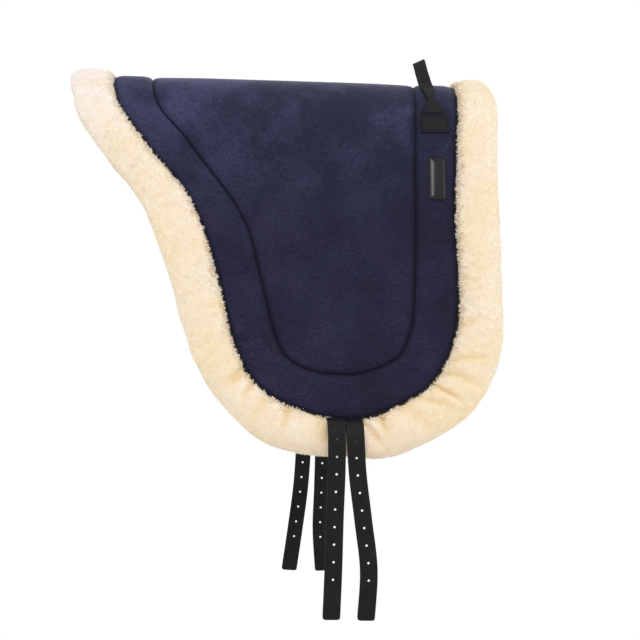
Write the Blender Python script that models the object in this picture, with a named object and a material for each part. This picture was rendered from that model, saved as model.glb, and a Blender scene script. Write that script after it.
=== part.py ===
# Bareback riding pad: a padded suede seat with a rolled fleece edge, four girth billets and a grab handle.
# X runs to the horse's front, Y across the horse, Z up. The origin is the fleece's underside on the spine.
import math

import bmesh
import bpy
import numpy as np
from mathutils import Matrix, Vector

# Shape of the pad on the horse's back
SPINE_HALF_LENGTH = 0.325
CLOTH_DROP = 0.622
ARCH_RADIUS = 0.120
ARCH_ANGLE = math.radians(78)
CREST_FALL_SHARE = 0.018

# Heights of the layers, counted from the fleece's underside
LINING_THICKNESS = 0.009
INTERLINING_THICKNESS = 0.0008
WEB_THICKNESS = 0.0022
COVER_THICKNESS = 0.0014
SEAM_HEIGHT = 0.0165
SEAT_CROWN = 0.0070
BORDER_CROWN = 0.0070
EDGE_CROWN = 0.0010
LAYER_GAP = 0.0004
SEAM_GAP = 0.0004
FOAM_SETBACK = 0.0015

# Rolled fleece edge
ROLL_THICKNESS = 0.041
ROLL_SINK = 0.005
ROLL_FULLNESS_SHARE = 0.82
ROLL_SIDE_GAP = 0.0004
ROLL_OPENING = math.radians(62)
FLEECE_WALL = 0.009
FILLING_GAP = 0.0006
FILLING_HEIGHT_SHARE = 0.86
OVERLOCK_RADIUS = 0.0013
OVERLOCK_RISE = 0.0022

# Girth billets
BILLET_WIDTH = 0.0255
BILLET_THICKNESS = 0.003
BILLET_LENGTH = 0.286
BILLET_PITCH = 0.026
BILLET_PAIR_PLACE = 0.0745
BILLET_ROOT_SETBACK = 0.0045
BILLET_CLEARANCE = 0.0012
BILLET_TIP_RADIUS = 0.004
HOLE_RADIUS = 0.0019
HOLE_PITCH = 0.025
HOLE_COUNT = 9
FIRST_HOLE_PLACE = 0.029
CUT_OVERRUN = 0.002
ARC_MIDDLE_SHARE = 1 - math.sqrt(0.5)
WEB_WIDTH = 0.025
WEB_END_SETBACK = 0.004

# Grab handle and its sewn ends, placed behind the middle of the front border
HANDLE_SETBACK = 0.0076
HANDLE_SKEW = math.radians(8.2)
HANDLE_LEAN = math.radians(24)
HANDLE_HALF_SPAN = 0.042
HANDLE_RISE = 0.0290
HANDLE_SHOULDER_PLACE = 0.040
HANDLE_SHOULDER_RISE = 0.012
HANDLE_TOP_REACH = 0.012
HANDLE_FOOT_GAP = 0.0006
GRIP_WIDTH = 0.020
GRIP_THICKNESS = 0.0046
LEAD_END_PLACE = 0.030
LEAD_NECK_PLACE = 0.088
LEAD_THICKNESS = 0.0036
PATCH_SETBACK = 0.0027
PATCH_WIDTH = 0.0428
PATCH_TOP_PLACE = 0.108
PATCH_END_PLACE = 0.139
PATCH_THICKNESS = 0.0024

# Badge plate, placed ahead of the middle of the front border
BADGE_WIDTH = 0.0245
BADGE_LENGTH = 0.065
BADGE_LEAD = 0.0014
BADGE_DROP = 0.2065
BADGE_PLATE_THICKNESS = 0.0014
BADGE_DOME_THICKNESS = 0.0016
BADGE_CORNER_RADIUS = 0.0045
BADGE_RIM = 0.0014

# Mesh counts, and the angle that stays sharp
SHARP_ANGLE = math.radians(40)
ARCH_STEPS = 5
SMOOTHING_STEPS = 24
ROLL_SKIN_STEPS = 11
ROLL_INSIDE_STEPS = 6
ROLL_ROUTE_STEPS = 96
BILLET_BEND_STEPS = 6
BILLET_HANG_STEPS = 6
HOLE_SIDES = 8
CORNER_STEPS = 3
RIM_STEPS = 2
COLUMN_SHARES = (0, 0.06, 0.2, 0.35, 0.5, 0.65, 0.8, 0.94, 1)
ROW_SHARES = (0, 0.14, 0.28, 0.42, 0.56, 0.7, 0.83, 0.94, 1)

ARCH_LENGTH = ARCH_RADIUS * ARCH_ANGLE
COLLECTION_NAME = "bareback_pad"

# One flank of the pad laid flat, from the crest's front round the hem to the crest's rear.
# Each row crosses the border: the seat seam, the suede's edge and the roll's outside.
# Each point is a share of SPINE_HALF_LENGTH forward and a share of CLOTH_DROP down.
FLANK_SHARES = (
    ((0.640, 0.000), (0.825, 0.000), (1.000, 0.000)),
    ((0.606, 0.158), (0.803, 0.158), (1.000, 0.158)),
    ((0.588, 0.262), (0.777, 0.262), (0.979, 0.262)),
    ((0.578, 0.434), (0.762, 0.434), (0.975, 0.434)),
    ((0.560, 0.624), (0.762, 0.624), (0.973, 0.627)),
    ((0.535, 0.707), (0.726, 0.732), (0.952, 0.756)),
    ((0.468, 0.768), (0.615, 0.830), (0.812, 0.893)),
    ((0.323, 0.801), (0.400, 0.895), (0.505, 0.989)),
    ((0.231, 0.807), (0.228, 0.912), (0.252, 1.003)),
    ((0.092, 0.799), (-0.006, 0.881), (-0.091, 0.978)),
    ((-0.025, 0.765), (-0.178, 0.817), (-0.307, 0.878)),
    ((-0.080, 0.698), (-0.262, 0.714), (-0.434, 0.730)),
    ((-0.129, 0.582), (-0.320, 0.576), (-0.520, 0.563)),
    ((-0.209, 0.432), (-0.428, 0.404), (-0.657, 0.386)),
    ((-0.437, 0.262), (-0.634, 0.262), (-0.838, 0.262)),
    ((-0.585, 0.158), (-0.763, 0.158), (-0.962, 0.158)),
    ((-0.597, 0.000), (-0.775, 0.000), (-0.988, 0.000)),
)
FRONT_CORNER_ROW = 6
REAR_CORNER_ROW = 10


def clear_scene():
    for item in list(bpy.data.objects):
        bpy.data.objects.remove(item, do_unlink=True)


def new_collection(name):
    collection = bpy.data.collections.new(name)
    bpy.context.scene.collection.children.link(collection)
    return collection


def new_material(name, colour, roughness, metallic=0.0):
    material = bpy.data.materials.new(name)
    material.use_nodes = True
    shader = material.node_tree.nodes["Principled BSDF"]
    shader.inputs["Base Color"].default_value = (*colour, 1.0)
    shader.inputs["Roughness"].default_value = roughness
    shader.inputs["Metallic"].default_value = metallic
    return material


def new_object(name, mesh, collection, material):
    mesh.materials.clear()
    mesh.materials.append(material)
    item = bpy.data.objects.new(name, mesh)
    collection.objects.link(item)
    return item


def drape(x, down, height):
    """Lays a point of the flat cloth over the horse: an arch, then two flanks. The near side is -Y."""
    arm = ARCH_RADIUS + height
    reach = abs(down)
    angle = min(reach / ARCH_RADIUS, ARCH_ANGLE)
    below = max(reach - ARCH_LENGTH, 0.0)
    out = arm * math.sin(angle) + below * math.cos(ARCH_ANGLE)
    level = arm * math.cos(angle) - ARCH_RADIUS - below * math.sin(ARCH_ANGLE)
    side = -1.0 if down > 0 else 1.0
    return Vector((x, side * out, level - CREST_FALL_SHARE * x))


def smooth_line(points):
    """Catmull-Rom curve through the points, as the positions at SMOOTHING_STEPS shares of each span."""
    padded = [2 * points[0] - points[1], *points, 2 * points[-1] - points[-2]]
    line = []
    for before, start, end, after in zip(padded, padded[1:], padded[2:], padded[3:]):
        for step in range(SMOOTHING_STEPS):
            t = step / SMOOTHING_STEPS
            bend = (2 * before - 5 * start + 4 * end - after) * t * t
            twist = (3 * start - before - 3 * end + after) * t**3
            line.append(start + 0.5 * ((end - before) * t + bend + twist))
    line.append(points[-1])
    return np.array(line)


def arch_levels():
    return [ARCH_LENGTH * step / ARCH_STEPS for step in range(ARCH_STEPS)]


def flank_line(column):
    """Stations of one border line on the near flank, from the crest's front to the crest's rear."""
    scale = np.array((SPINE_HALF_LENGTH, CLOTH_DROP))
    line = smooth_line([np.array(row[column]) * scale for row in FLANK_SHARES])
    lowest = int(np.argmax(line[:, 1]))
    front = line[: lowest + 1]
    rear = line[lowest:][::-1]
    place = np.arange(len(line), dtype=float)
    front_start = np.interp(ARCH_LENGTH, front[:, 1], place[: lowest + 1])
    rear_end = np.interp(ARCH_LENGTH, rear[:, 1], place[lowest:][::-1])
    corners = (FRONT_CORNER_ROW * SMOOTHING_STEPS, REAR_CORNER_ROW * SMOOTHING_STEPS)
    places = [front_start + (corners[0] - front_start) * share for share in ROW_SHARES]
    places += [corners[0] + (corners[1] - corners[0]) * share for share in COLUMN_SHARES[1:]]
    places += [rear_end + (corners[1] - rear_end) * share for share in ROW_SHARES[-2::-1]]
    flap = [(np.interp(p, place, line[:, 0]), np.interp(p, place, line[:, 1])) for p in places]
    down_front = [(np.interp(level, front[:, 1], front[:, 0]), level) for level in arch_levels()]
    up_rear = [(np.interp(level, rear[:, 1], rear[:, 0]), level) for level in reversed(arch_levels())]
    return down_front + flap + up_rear


def closed_line(column):
    """The same line right round the pad: down the near flank, then down the far one."""
    near = flank_line(column)
    far = [(x, -down) for x, down in near[-2:0:-1]]
    return np.array(near + far)


def across(inner, outer, share):
    return inner + (outer - inner) * share


def shifted(line, towards, distance):
    """Each station moved by a distance towards its partner on another line."""
    step = towards - line
    return line + step / np.linalg.norm(step, axis=1)[:, None] * distance


SEAM_LINE = closed_line(0)
EDGE_LINE = closed_line(1)
ROLL_LINE = closed_line(2)
STATIONS = len(SEAM_LINE)
FLANK_STATIONS = STATIONS // 2
FLAP_ROWS = len(ROW_SHARES) - 1
COLUMNS = len(COLUMN_SHARES) - 1
HALF_ROWS = ARCH_STEPS + FLAP_ROWS


def finished_mesh(name, bm):
    """Closes a mesh: triangles along the shorter diagonal, faces outward, round parts shaded smooth."""
    bmesh.ops.triangulate(bm, faces=bm.faces[:], quad_method="SHORT_EDGE")
    bmesh.ops.recalc_face_normals(bm, faces=bm.faces[:])
    mesh = bpy.data.meshes.new(name)
    bm.to_mesh(mesh)
    bm.free()
    mesh.shade_smooth()
    mesh.set_sharp_from_angle(angle=SHARP_ANGLE)
    return mesh


def slab(name, columns, rows, place):
    """A grid thickened to two layers, each corner put where place(column, row, layer) says."""
    bm = bmesh.new()
    bmesh.ops.create_grid(bm, x_segments=columns, y_segments=rows, size=0.5)
    spots = {v: (round((v.co.x + 0.5) * columns), round((v.co.y + 0.5) * rows)) for v in bm.verts}
    lower = list(bm.verts)
    raised = bmesh.ops.extrude_face_region(bm, geom=bm.faces[:])["geom"]
    upper = [item for item in raised if isinstance(item, bmesh.types.BMVert)]
    tops = [(v, spots[min(lower, key=lambda low: (low.co - v.co).length_squared)]) for v in upper]
    for vert, spot in tops:
        vert.co = place(*spot, 1)
    for vert in lower:
        vert.co = place(*spots[vert], 0)
    return finished_mesh(name, bm)


def ring(name, inner, outer, section):
    """A torus led round the pad; section lists each corner's share across, from inner to outer, and height."""
    bpy.ops.mesh.primitive_torus_add(major_segments=STATIONS, minor_segments=len(section))
    torus = bpy.context.object
    bm = bmesh.new()
    bm.from_mesh(torus.data)
    bm.verts.ensure_lookup_table()
    for index, vert in enumerate(bm.verts):
        station, corner = divmod(index, len(section))
        share, height = section[corner]
        x, down = across(inner[station], outer[station], share)
        vert.co = drape(x, down, height)
    bpy.data.objects.remove(torus, do_unlink=True)
    return finished_mesh(name, bm)


def panel_point(line, column, row):
    """A point of the panel inside a line: rows run from the far hem over the crest to the near hem."""
    steps_down = abs(row - HALF_ROWS)
    side = 1 if row >= HALF_ROWS else -1
    near = line[: FLANK_STATIONS + 1]
    across_share = COLUMN_SHARES[column]
    if steps_down <= ARCH_STEPS:
        x, down = across(near[steps_down], near[-1 - steps_down], across_share)
        return x, side * down
    flap_row = steps_down - ARCH_STEPS
    down_share = ROW_SHARES[flap_row]
    front, rear = near[steps_down], near[-1 - steps_down]
    top = across(near[ARCH_STEPS], near[-1 - ARCH_STEPS], across_share)
    hem = near[HALF_ROWS + column]
    top_corners = across(near[ARCH_STEPS], near[-1 - ARCH_STEPS], across_share)
    hem_corners = across(near[HALF_ROWS], near[HALF_ROWS + COLUMNS], across_share)
    x, down = (
        across(top, hem, down_share)
        + across(front, rear, across_share)
        - across(top_corners, hem_corners, down_share)
    )
    return x, side * down


CROWN_SIDE_POWER = 5
CROWN_HEM_POWER = 7


def crown_share(column, row):
    """0 on a panel's rim, 1 over its middle, with a rounded shoulder between."""
    steps_down = abs(row - HALF_ROWS)
    sideways = abs(2 * COLUMN_SHARES[column] - 1)
    downward = ROW_SHARES[steps_down - ARCH_STEPS] if steps_down > ARCH_STEPS else 0
    return (1 - sideways**CROWN_SIDE_POWER) * (1 - downward**CROWN_HEM_POWER)


def panel(name, line, bottom, top_at):
    """A closed panel inside a line, from a level bottom up to top_at(column, row)."""

    def place(column, row, layer):
        x, down = panel_point(line, column, row)
        return drape(x, down, top_at(column, row) if layer else bottom(column, row))

    return slab(name, COLUMNS, 2 * HALF_ROWS, place)


# Layers of the seat and the lining
INTERLINING_FLOOR = LINING_THICKNESS + LAYER_GAP
WEB_FLOOR = INTERLINING_FLOOR + INTERLINING_THICKNESS + LAYER_GAP
FOAM_FLOOR = WEB_FLOOR + WEB_THICKNESS + LAYER_GAP


def seat_top(column, row):
    return SEAM_HEIGHT + SEAT_CROWN * crown_share(column, row)


def seat_cover():
    line = shifted(SEAM_LINE, EDGE_LINE, -SEAM_GAP)
    return panel("seat_cover", line, lambda c, r: seat_top(c, r) - COVER_THICKNESS, seat_top)


def seat_foam():
    line = shifted(SEAM_LINE, EDGE_LINE, -FOAM_SETBACK)
    under_cover = COVER_THICKNESS + LAYER_GAP
    return panel("seat_foam", line, lambda c, r: FOAM_FLOOR, lambda c, r: seat_top(c, r) - under_cover)


def flat_layer(name, floor, thickness):
    line = shifted(EDGE_LINE, SEAM_LINE, ROLL_SIDE_GAP)
    return panel(name, line, lambda c, r: floor, lambda c, r: floor + thickness)


# Border ring between the seat seam and the suede's edge
BORDER_TOP_SHARES = ((0, 0), (0.12, 0.75), (0.35, 1), (0.65, 1), (0.88, 0.75), (1, 0))


def border_height(rise_share, across_share):
    rim = EDGE_CROWN * across_share
    return SEAM_HEIGHT + rim + (BORDER_CROWN - rim) * rise_share


def border_section(drop, floor, end_shares=(0, 1)):
    top = [
        (min(max(share, end_shares[0]), end_shares[1]), border_height(rise, share) - drop)
        for share, rise in BORDER_TOP_SHARES
    ]
    return top + floor(top)


def border_cover():
    def underside(top):
        return [(share, height - COVER_THICKNESS) for share, height in reversed(top)]

    inner = shifted(SEAM_LINE, EDGE_LINE, SEAM_GAP)
    outer = shifted(EDGE_LINE, SEAM_LINE, SEAM_GAP)
    return ring("border_cover", inner, outer, border_section(0, underside))


def border_foam():
    inner = shifted(SEAM_LINE, EDGE_LINE, FOAM_SETBACK)
    outer = shifted(EDGE_LINE, SEAM_LINE, FOAM_SETBACK)
    section = border_section(COVER_THICKNESS + LAYER_GAP, lambda top: [(1, FOAM_FLOOR), (0, FOAM_FLOOR)])
    return ring("border_foam", inner, outer, section)


# Fleece roll round the edge, its filling and the overlocked seam
ROLL_MIDDLE = ROLL_THICKNESS / 2 - ROLL_SINK


def roll_width(station):
    return float(np.linalg.norm(ROLL_LINE[station] - EDGE_LINE[station]))


def roll_outline(angle):
    """A full rounded section, 1 from its middle each way; the angle runs from its top to its outside."""
    sideways = math.copysign(abs(math.sin(angle)) ** ROLL_FULLNESS_SHARE, math.sin(angle))
    upward = math.copysign(abs(math.cos(angle)) ** ROLL_FULLNESS_SHARE, math.cos(angle))
    return sideways, upward


def roll_point(angle, inset):
    """Share across and height of a point on the roll's section, or a distance inside it."""
    inset_share = inset / (sum(roll_width(s) for s in range(STATIONS)) / STATIONS)
    sideways, upward = roll_outline(angle)
    return 0.5 + (0.5 - inset_share) * sideways, ROLL_MIDDLE + (ROLL_THICKNESS / 2 - inset) * upward


def overlock_middle():
    return SEAM_HEIGHT + EDGE_CROWN + OVERLOCK_RISE


def edge_roll_fleece():
    """The roll's skin, open along the pad's edge; its lips are sewn to the lining and by the overlock."""
    lining_lip = (0, LINING_THICKNESS / 2)
    overlock_lip = (0, overlock_middle() + OVERLOCK_RADIUS + LAYER_GAP)
    start = -math.pi / 2 + ROLL_OPENING / 2
    sweep = 2 * math.pi - ROLL_OPENING
    skin = [roll_point(start + sweep * k / ROLL_SKIN_STEPS, 0) for k in range(ROLL_SKIN_STEPS + 1)]
    inside = [
        roll_point(start + sweep * k / ROLL_INSIDE_STEPS, FLEECE_WALL)
        for k in range(ROLL_INSIDE_STEPS, -1, -1)
    ]
    inner = shifted(EDGE_LINE, ROLL_LINE, ROLL_SIDE_GAP)
    return ring("edge_roll_fleece", inner, ROLL_LINE, [overlock_lip, *skin, lining_lip, *inside])


def edge_roll_filling():
    corners = ROLL_INSIDE_STEPS + 2
    start = -math.pi / 2
    inset = FLEECE_WALL + FILLING_GAP
    section = [roll_point(start + 2 * math.pi * k / corners, inset) for k in range(corners)]
    section = [(s, ROLL_MIDDLE + (height - ROLL_MIDDLE) * FILLING_HEIGHT_SHARE) for s, height in section]
    return ring("edge_roll_filling", shifted(EDGE_LINE, ROLL_LINE, ROLL_SIDE_GAP), ROLL_LINE, section)


def edge_overlock():
    middle = overlock_middle()
    inner = shifted(EDGE_LINE, SEAM_LINE, OVERLOCK_RADIUS)
    outer = shifted(EDGE_LINE, SEAM_LINE, -OVERLOCK_RADIUS)
    corners = ((0, middle), (0.5, middle + OVERLOCK_RADIUS), (1, middle), (0.5, middle - OVERLOCK_RADIUS))
    return ring("edge_overlock", inner, outer, corners)


# Girth webs and billets
# Each billet: its side, its place in the pair, and how far it sways forward at even steps down its length,
# as shares of BILLET_WIDTH.
BILLET_SWAY_SHARES = {
    "billet_right_front": (1, 1, (0, 0.12, 0.45, 0.76, 0.60)),
    "billet_right_rear": (1, -1, (0, -0.02, -0.13, -0.21, -0.33)),
    "billet_left_front": (-1, 1, (0, 0.28, 0.24, 0.14, 0.30)),
    "billet_left_rear": (-1, -1, (0, 0.05, -0.13, -0.50, -0.92)),
}


def billet_x(place):
    return BILLET_PAIR_PLACE + place * BILLET_PITCH / 2


def drop_at(line, x):
    """How far down a border line lies at a place along the hem of the near flank."""
    hem = line[HALF_ROWS : HALF_ROWS + COLUMNS + 1]
    return float(np.interp(x, hem[::-1, 0], hem[::-1, 1]))


def girth_web(name, place):
    x = billet_x(place)
    end = drop_at(EDGE_LINE, x) - WEB_END_SETBACK
    levels = [end, ARCH_LENGTH, *reversed(arch_levels())]
    levels = levels + [-level for level in reversed(levels[:-1])]

    def corner(column, row, layer):
        return drape(x + (column - 0.5) * WEB_WIDTH, levels[row], WEB_FLOOR + layer * WEB_THICKNESS)

    return slab(name, 1, len(levels) - 1, corner)


def billet_route(x):
    """The strap's middle line over the roll, then plumb down: how far out it is, and its level."""
    edge, hem = drop_at(EDGE_LINE, x), drop_at(ROLL_LINE, x)
    lift = BILLET_CLEARANCE + BILLET_THICKNESS / 2
    half_width = (hem - edge) / 2 + lift
    half_height = ROLL_THICKNESS / 2 + lift
    root = (hem - edge) / 2 - BILLET_ROOT_SETBACK
    route = []
    for step in range(ROLL_ROUTE_STEPS):
        sideways, upward = roll_outline(math.pi * (step / ROLL_ROUTE_STEPS - 0.5))
        if half_width * sideways < -root:
            continue
        spot = drape(0, (edge + hem) / 2 + half_width * sideways, ROLL_MIDDLE + half_height * upward)
        if route and -spot.y <= route[-1][0]:
            break
        route.append(np.array((-spot.y, spot.z)))
    route.append(route[-1] - np.array((0, BILLET_LENGTH)))
    return np.array(route)


class Billet:
    """One strap: where each distance along it lies, in world space."""

    def __init__(self, side, place, sway_shares):
        self.side = side
        self.x = billet_x(place)
        self.route = billet_route(self.x)
        steps = np.linalg.norm(np.diff(self.route, axis=0), axis=1)
        self.along = np.concatenate(([0], np.cumsum(steps)))
        self.swayed = smooth_line([np.array((share,)) * BILLET_WIDTH for share in sway_shares])[:, 0]

    def over_the_roll(self):
        """The distance along the strap at which it leaves the roll and hangs plumb."""
        return float(self.along[-2])

    def sway(self, distance):
        return float(np.interp(distance / BILLET_LENGTH, np.linspace(0, 1, len(self.swayed)), self.swayed))

    def at(self, distance, sideways, height):
        out = np.interp(distance, self.along, self.route[:, 0])
        level = np.interp(distance, self.along, self.route[:, 1])
        step = self.along[1]
        ahead = [np.interp(distance + step, self.along, self.route[:, k]) for k in (0, 1)]
        behind = [np.interp(distance - step, self.along, self.route[:, k]) for k in (0, 1)]
        run = np.array(ahead) - np.array(behind)
        run = run / np.linalg.norm(run)
        face = np.array((-run[1], run[0]))
        turn = math.atan((self.sway(distance + step) - self.sway(distance - step)) / (2 * step))
        x = self.x + self.sway(distance) + sideways * math.cos(turn)
        out += face[0] * height + run[0] * sideways * -math.sin(turn)
        level += face[1] * height + run[1] * sideways * -math.sin(turn)
        return Vector((x, -self.side * out, level - CREST_FALL_SHARE * self.x))

    def hinge(self):
        return self.at(0, 0, 0)


def billet_rows(billet):
    """Distances along the strap: close together over the roll and at the rounded tip."""
    bend = billet.over_the_roll()
    over = [bend * step / BILLET_BEND_STEPS for step in range(BILLET_BEND_STEPS)]
    below = BILLET_LENGTH - BILLET_TIP_RADIUS - bend
    hanging = [bend + below * step / BILLET_HANG_STEPS for step in range(BILLET_HANG_STEPS + 1)]
    return over + hanging + [BILLET_LENGTH - BILLET_TIP_RADIUS * ARC_MIDDLE_SHARE, BILLET_LENGTH]


def billet_mesh(name, billet):
    rows = billet_rows(billet)
    full = BILLET_WIDTH / 2
    tip = [full - BILLET_TIP_RADIUS * ARC_MIDDLE_SHARE, full - BILLET_TIP_RADIUS]
    half_widths = [full] * (len(rows) - len(tip)) + tip

    def corner(column, row, layer):
        sideways = (2 * column - 1) * half_widths[row]
        return billet.at(rows[row], sideways, (layer - 0.5) * BILLET_THICKNESS)

    return slab(name, 1, len(rows) - 1, corner)


def hole_cutter(name, billet, collection):
    """One object with a pin through each buckle hole, square to the strap there."""
    bm = bmesh.new()
    depth = BILLET_THICKNESS + 2 * CUT_OVERRUN
    for number in range(HOLE_COUNT):
        distance = FIRST_HOLE_PLACE + number * HOLE_PITCH
        centre = billet.at(distance, 0, 0)
        through = (billet.at(distance, 0, BILLET_THICKNESS) - centre).normalized()
        turn = through.to_track_quat("Z", "X").to_matrix().to_4x4()
        bmesh.ops.create_cone(
            bm,
            cap_ends=True,
            segments=HOLE_SIDES,
            radius1=HOLE_RADIUS,
            radius2=HOLE_RADIUS,
            depth=depth,
            matrix=Matrix.Translation(centre) @ turn,
        )
    mesh = bpy.data.meshes.new(name)
    bm.to_mesh(mesh)
    bm.free()
    cutter = bpy.data.objects.new(name, mesh)
    collection.objects.link(cutter)
    cutter.hide_render = True
    cutter.display_type = "WIRE"
    return cutter


def make_billet(name, side, place, sway_shares, parts, cutters, material):
    """A strap with its origin on its sewn end, the line that it swings about."""
    billet = Billet(side, place, sway_shares)
    item = new_object(name, billet_mesh(name, billet), parts, material)
    hinge = billet.hinge()
    item.data.transform(Matrix.Translation(-hinge))
    item.location = hinge
    punch = item.modifiers.new("buckle_holes", "BOOLEAN")
    punch.operation = "DIFFERENCE"
    punch.solver = "EXACT"
    punch.object = hole_cutter(name + "_punch", billet, cutters)
    return item


# Handle ends and grab handle
PATCH_COLUMN_SHARES = (0, 0.36, 0.8, 1)


def front_border_at(down):
    """Where the front border lies at a distance down the flank: the seat seam and the suede's edge."""
    near = slice(0, ARCH_STEPS + 2)
    seam = np.interp(down, SEAM_LINE[near, 1], SEAM_LINE[near, 0])
    edge = np.interp(down, EDGE_LINE[near, 1], EDGE_LINE[near, 0])
    return float(seam), float(edge)


def border_share_at(x, down):
    """How far across the front border a place lies, from the seat seam (0) to the suede's edge (1)."""
    seam, edge = front_border_at(down)
    return (x - seam) / (edge - seam)


HANDLE_PLACE = sum(front_border_at(0)) / 2 - HANDLE_SETBACK
PATCH_PLACE = sum(front_border_at((PATCH_TOP_PLACE + PATCH_END_PLACE) / 2)) / 2 - PATCH_SETBACK


def border_top_at(x, down):
    share = border_share_at(x, down)
    rise = np.interp(share, [s for s, _ in BORDER_TOP_SHARES], [r for _, r in BORDER_TOP_SHARES])
    return border_height(rise, share)


def handle_foot_x(side):
    """The grip stands a little skew, so its near foot is further back than its far one."""
    return HANDLE_PLACE - side * HANDLE_HALF_SPAN * math.sin(HANDLE_SKEW)


def handle_end(name, side):
    """Webbing end sewn flat on the border, then folded in half and led up to the crest, under the grip."""
    ends = (LEAD_END_PLACE, LEAD_NECK_PLACE, PATCH_TOP_PLACE, PATCH_END_PLACE)
    rows = sorted([*ends, *(level for level in arch_levels() if ends[0] < level < ends[-1])])
    flare = (LEAD_NECK_PLACE, PATCH_TOP_PLACE)

    def corner(column, row, layer):
        down = rows[row]
        width = np.interp(down, flare, (GRIP_WIDTH, PATCH_WIDTH))
        thickness = np.interp(down, flare, (LEAD_THICKNESS, PATCH_THICKNESS))
        middle = np.interp(down, (LEAD_END_PLACE, PATCH_TOP_PLACE), (handle_foot_x(side), PATCH_PLACE))
        x = middle + (PATCH_COLUMN_SHARES[column] - 0.5) * width
        return drape(x, side * down, border_top_at(x, down) + LAYER_GAP + layer * thickness)

    return slab(name, len(PATCH_COLUMN_SHARES) - 1, len(rows) - 1, corner)


def handle_axis():
    """The middle of the line that the grip swings on: its rounded feet stand just clear of the leads."""
    lead_top = border_height(1, 0.5) + LAYER_GAP + LEAD_THICKNESS
    inner_face = (HANDLE_HALF_SPAN - GRIP_THICKNESS / 2) * math.cos(HANDLE_SKEW)
    level = math.sqrt((ARCH_RADIUS + lead_top) ** 2 - inner_face**2) - ARCH_RADIUS
    level += HANDLE_FOOT_GAP + GRIP_WIDTH / 2 - CREST_FALL_SHARE * HANDLE_PLACE
    return Vector((HANDLE_PLACE, 0, level))


def handle_route(share):
    """The grip's middle line from the near foot (0) to the far foot (1): how far out and up it is."""
    half = 1 - abs(2 * share - 1)
    left = 1 - half
    foot = np.array((HANDLE_HALF_SPAN, 0))
    shoulder = np.array((HANDLE_SHOULDER_PLACE, HANDLE_SHOULDER_RISE))
    bend = np.array((HANDLE_TOP_REACH, HANDLE_RISE))
    top = np.array((0, HANDLE_RISE))
    out, up = foot * left**3 + 3 * shoulder * left**2 * half + 3 * bend * left * half**2 + top * half**3
    return np.array((-out if share > 0.5 else out, up))


HANDLE_ROW_SHARES = (0, 0.08, 0.16, 0.24, 0.32, 0.38, 0.44, 0.5, 0.56, 0.62, 0.68, 0.76, 0.84, 0.92, 1)
HANDLE_FOOT_SHARES = (0.35, 0.8)
HANDLE_PROBE_SHARE = 0.01


def grab_handle():
    """Folded webbing in a pinched arch over the spine, its feet rounded about its swinging line."""
    radius = GRIP_WIDTH / 2
    foot = [(-radius * math.cos(math.asin(share)), radius * share) for share in HANDLE_FOOT_SHARES]
    rows = [(np.array((HANDLE_HALF_SPAN, drop)), width, np.array((1, 0))) for drop, width in foot]
    for share in HANDLE_ROW_SHARES:
        ahead = handle_route(min(share + HANDLE_PROBE_SHARE, 1))
        run = ahead - handle_route(max(share - HANDLE_PROBE_SHARE, 0))
        face = np.array((run[1], -run[0])) / np.hypot(*run)
        rows.append((handle_route(share), radius, face))
    far_foot = [(np.array((-HANDLE_HALF_SPAN, drop)), width, np.array((-1, 0))) for drop, width in foot]
    rows += reversed(far_foot)

    def corner(column, row, layer):
        spot, half_width, face = rows[row]
        out, up = spot + face * (layer - 0.5) * GRIP_THICKNESS
        return Vector(((2 * column - 1) * half_width, -out, up))

    return slab("grab_handle", 1, len(rows) - 1, corner)


# Badge plate on the near side of the front border
BADGE_PLACE = sum(front_border_at(BADGE_DROP)) / 2 + BADGE_LEAD


def rounded_plate(name, width, length, thickness, top_bevel):
    bm = bmesh.new()
    size = Matrix.Diagonal((width, length, thickness, 1))
    lift = Matrix.Translation((0, 0, thickness / 2))
    bmesh.ops.create_cube(bm, size=1, matrix=lift @ size)
    upright = [e for e in bm.edges if abs(e.verts[0].co.z - e.verts[1].co.z) > thickness / 2]
    rounding = {"affect": "EDGES", "profile": 0.5}
    bmesh.ops.bevel(bm, geom=upright, offset=BADGE_CORNER_RADIUS, segments=CORNER_STEPS, **rounding)
    if top_bevel:
        rim = [e for e in bm.edges if min(v.co.z for v in e.verts) > thickness / 2]
        bmesh.ops.bevel(bm, geom=rim, offset=top_bevel, segments=RIM_STEPS, **rounding)
    return finished_mesh(name, bm)


def badge_seat(height):
    """Where the badge stands on the border: local Z points off the cloth and local Y up the flank."""
    centre = drape(BADGE_PLACE, BADGE_DROP, height)
    forward = (drape(BADGE_PLACE + BADGE_WIDTH, BADGE_DROP, height) - centre).normalized()
    up = (drape(BADGE_PLACE, BADGE_DROP - BADGE_WIDTH, height) - centre).normalized()
    off = forward.cross(up).normalized()
    return Matrix.Translation(centre) @ Matrix((forward, off.cross(forward), off)).transposed().to_4x4()


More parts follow.
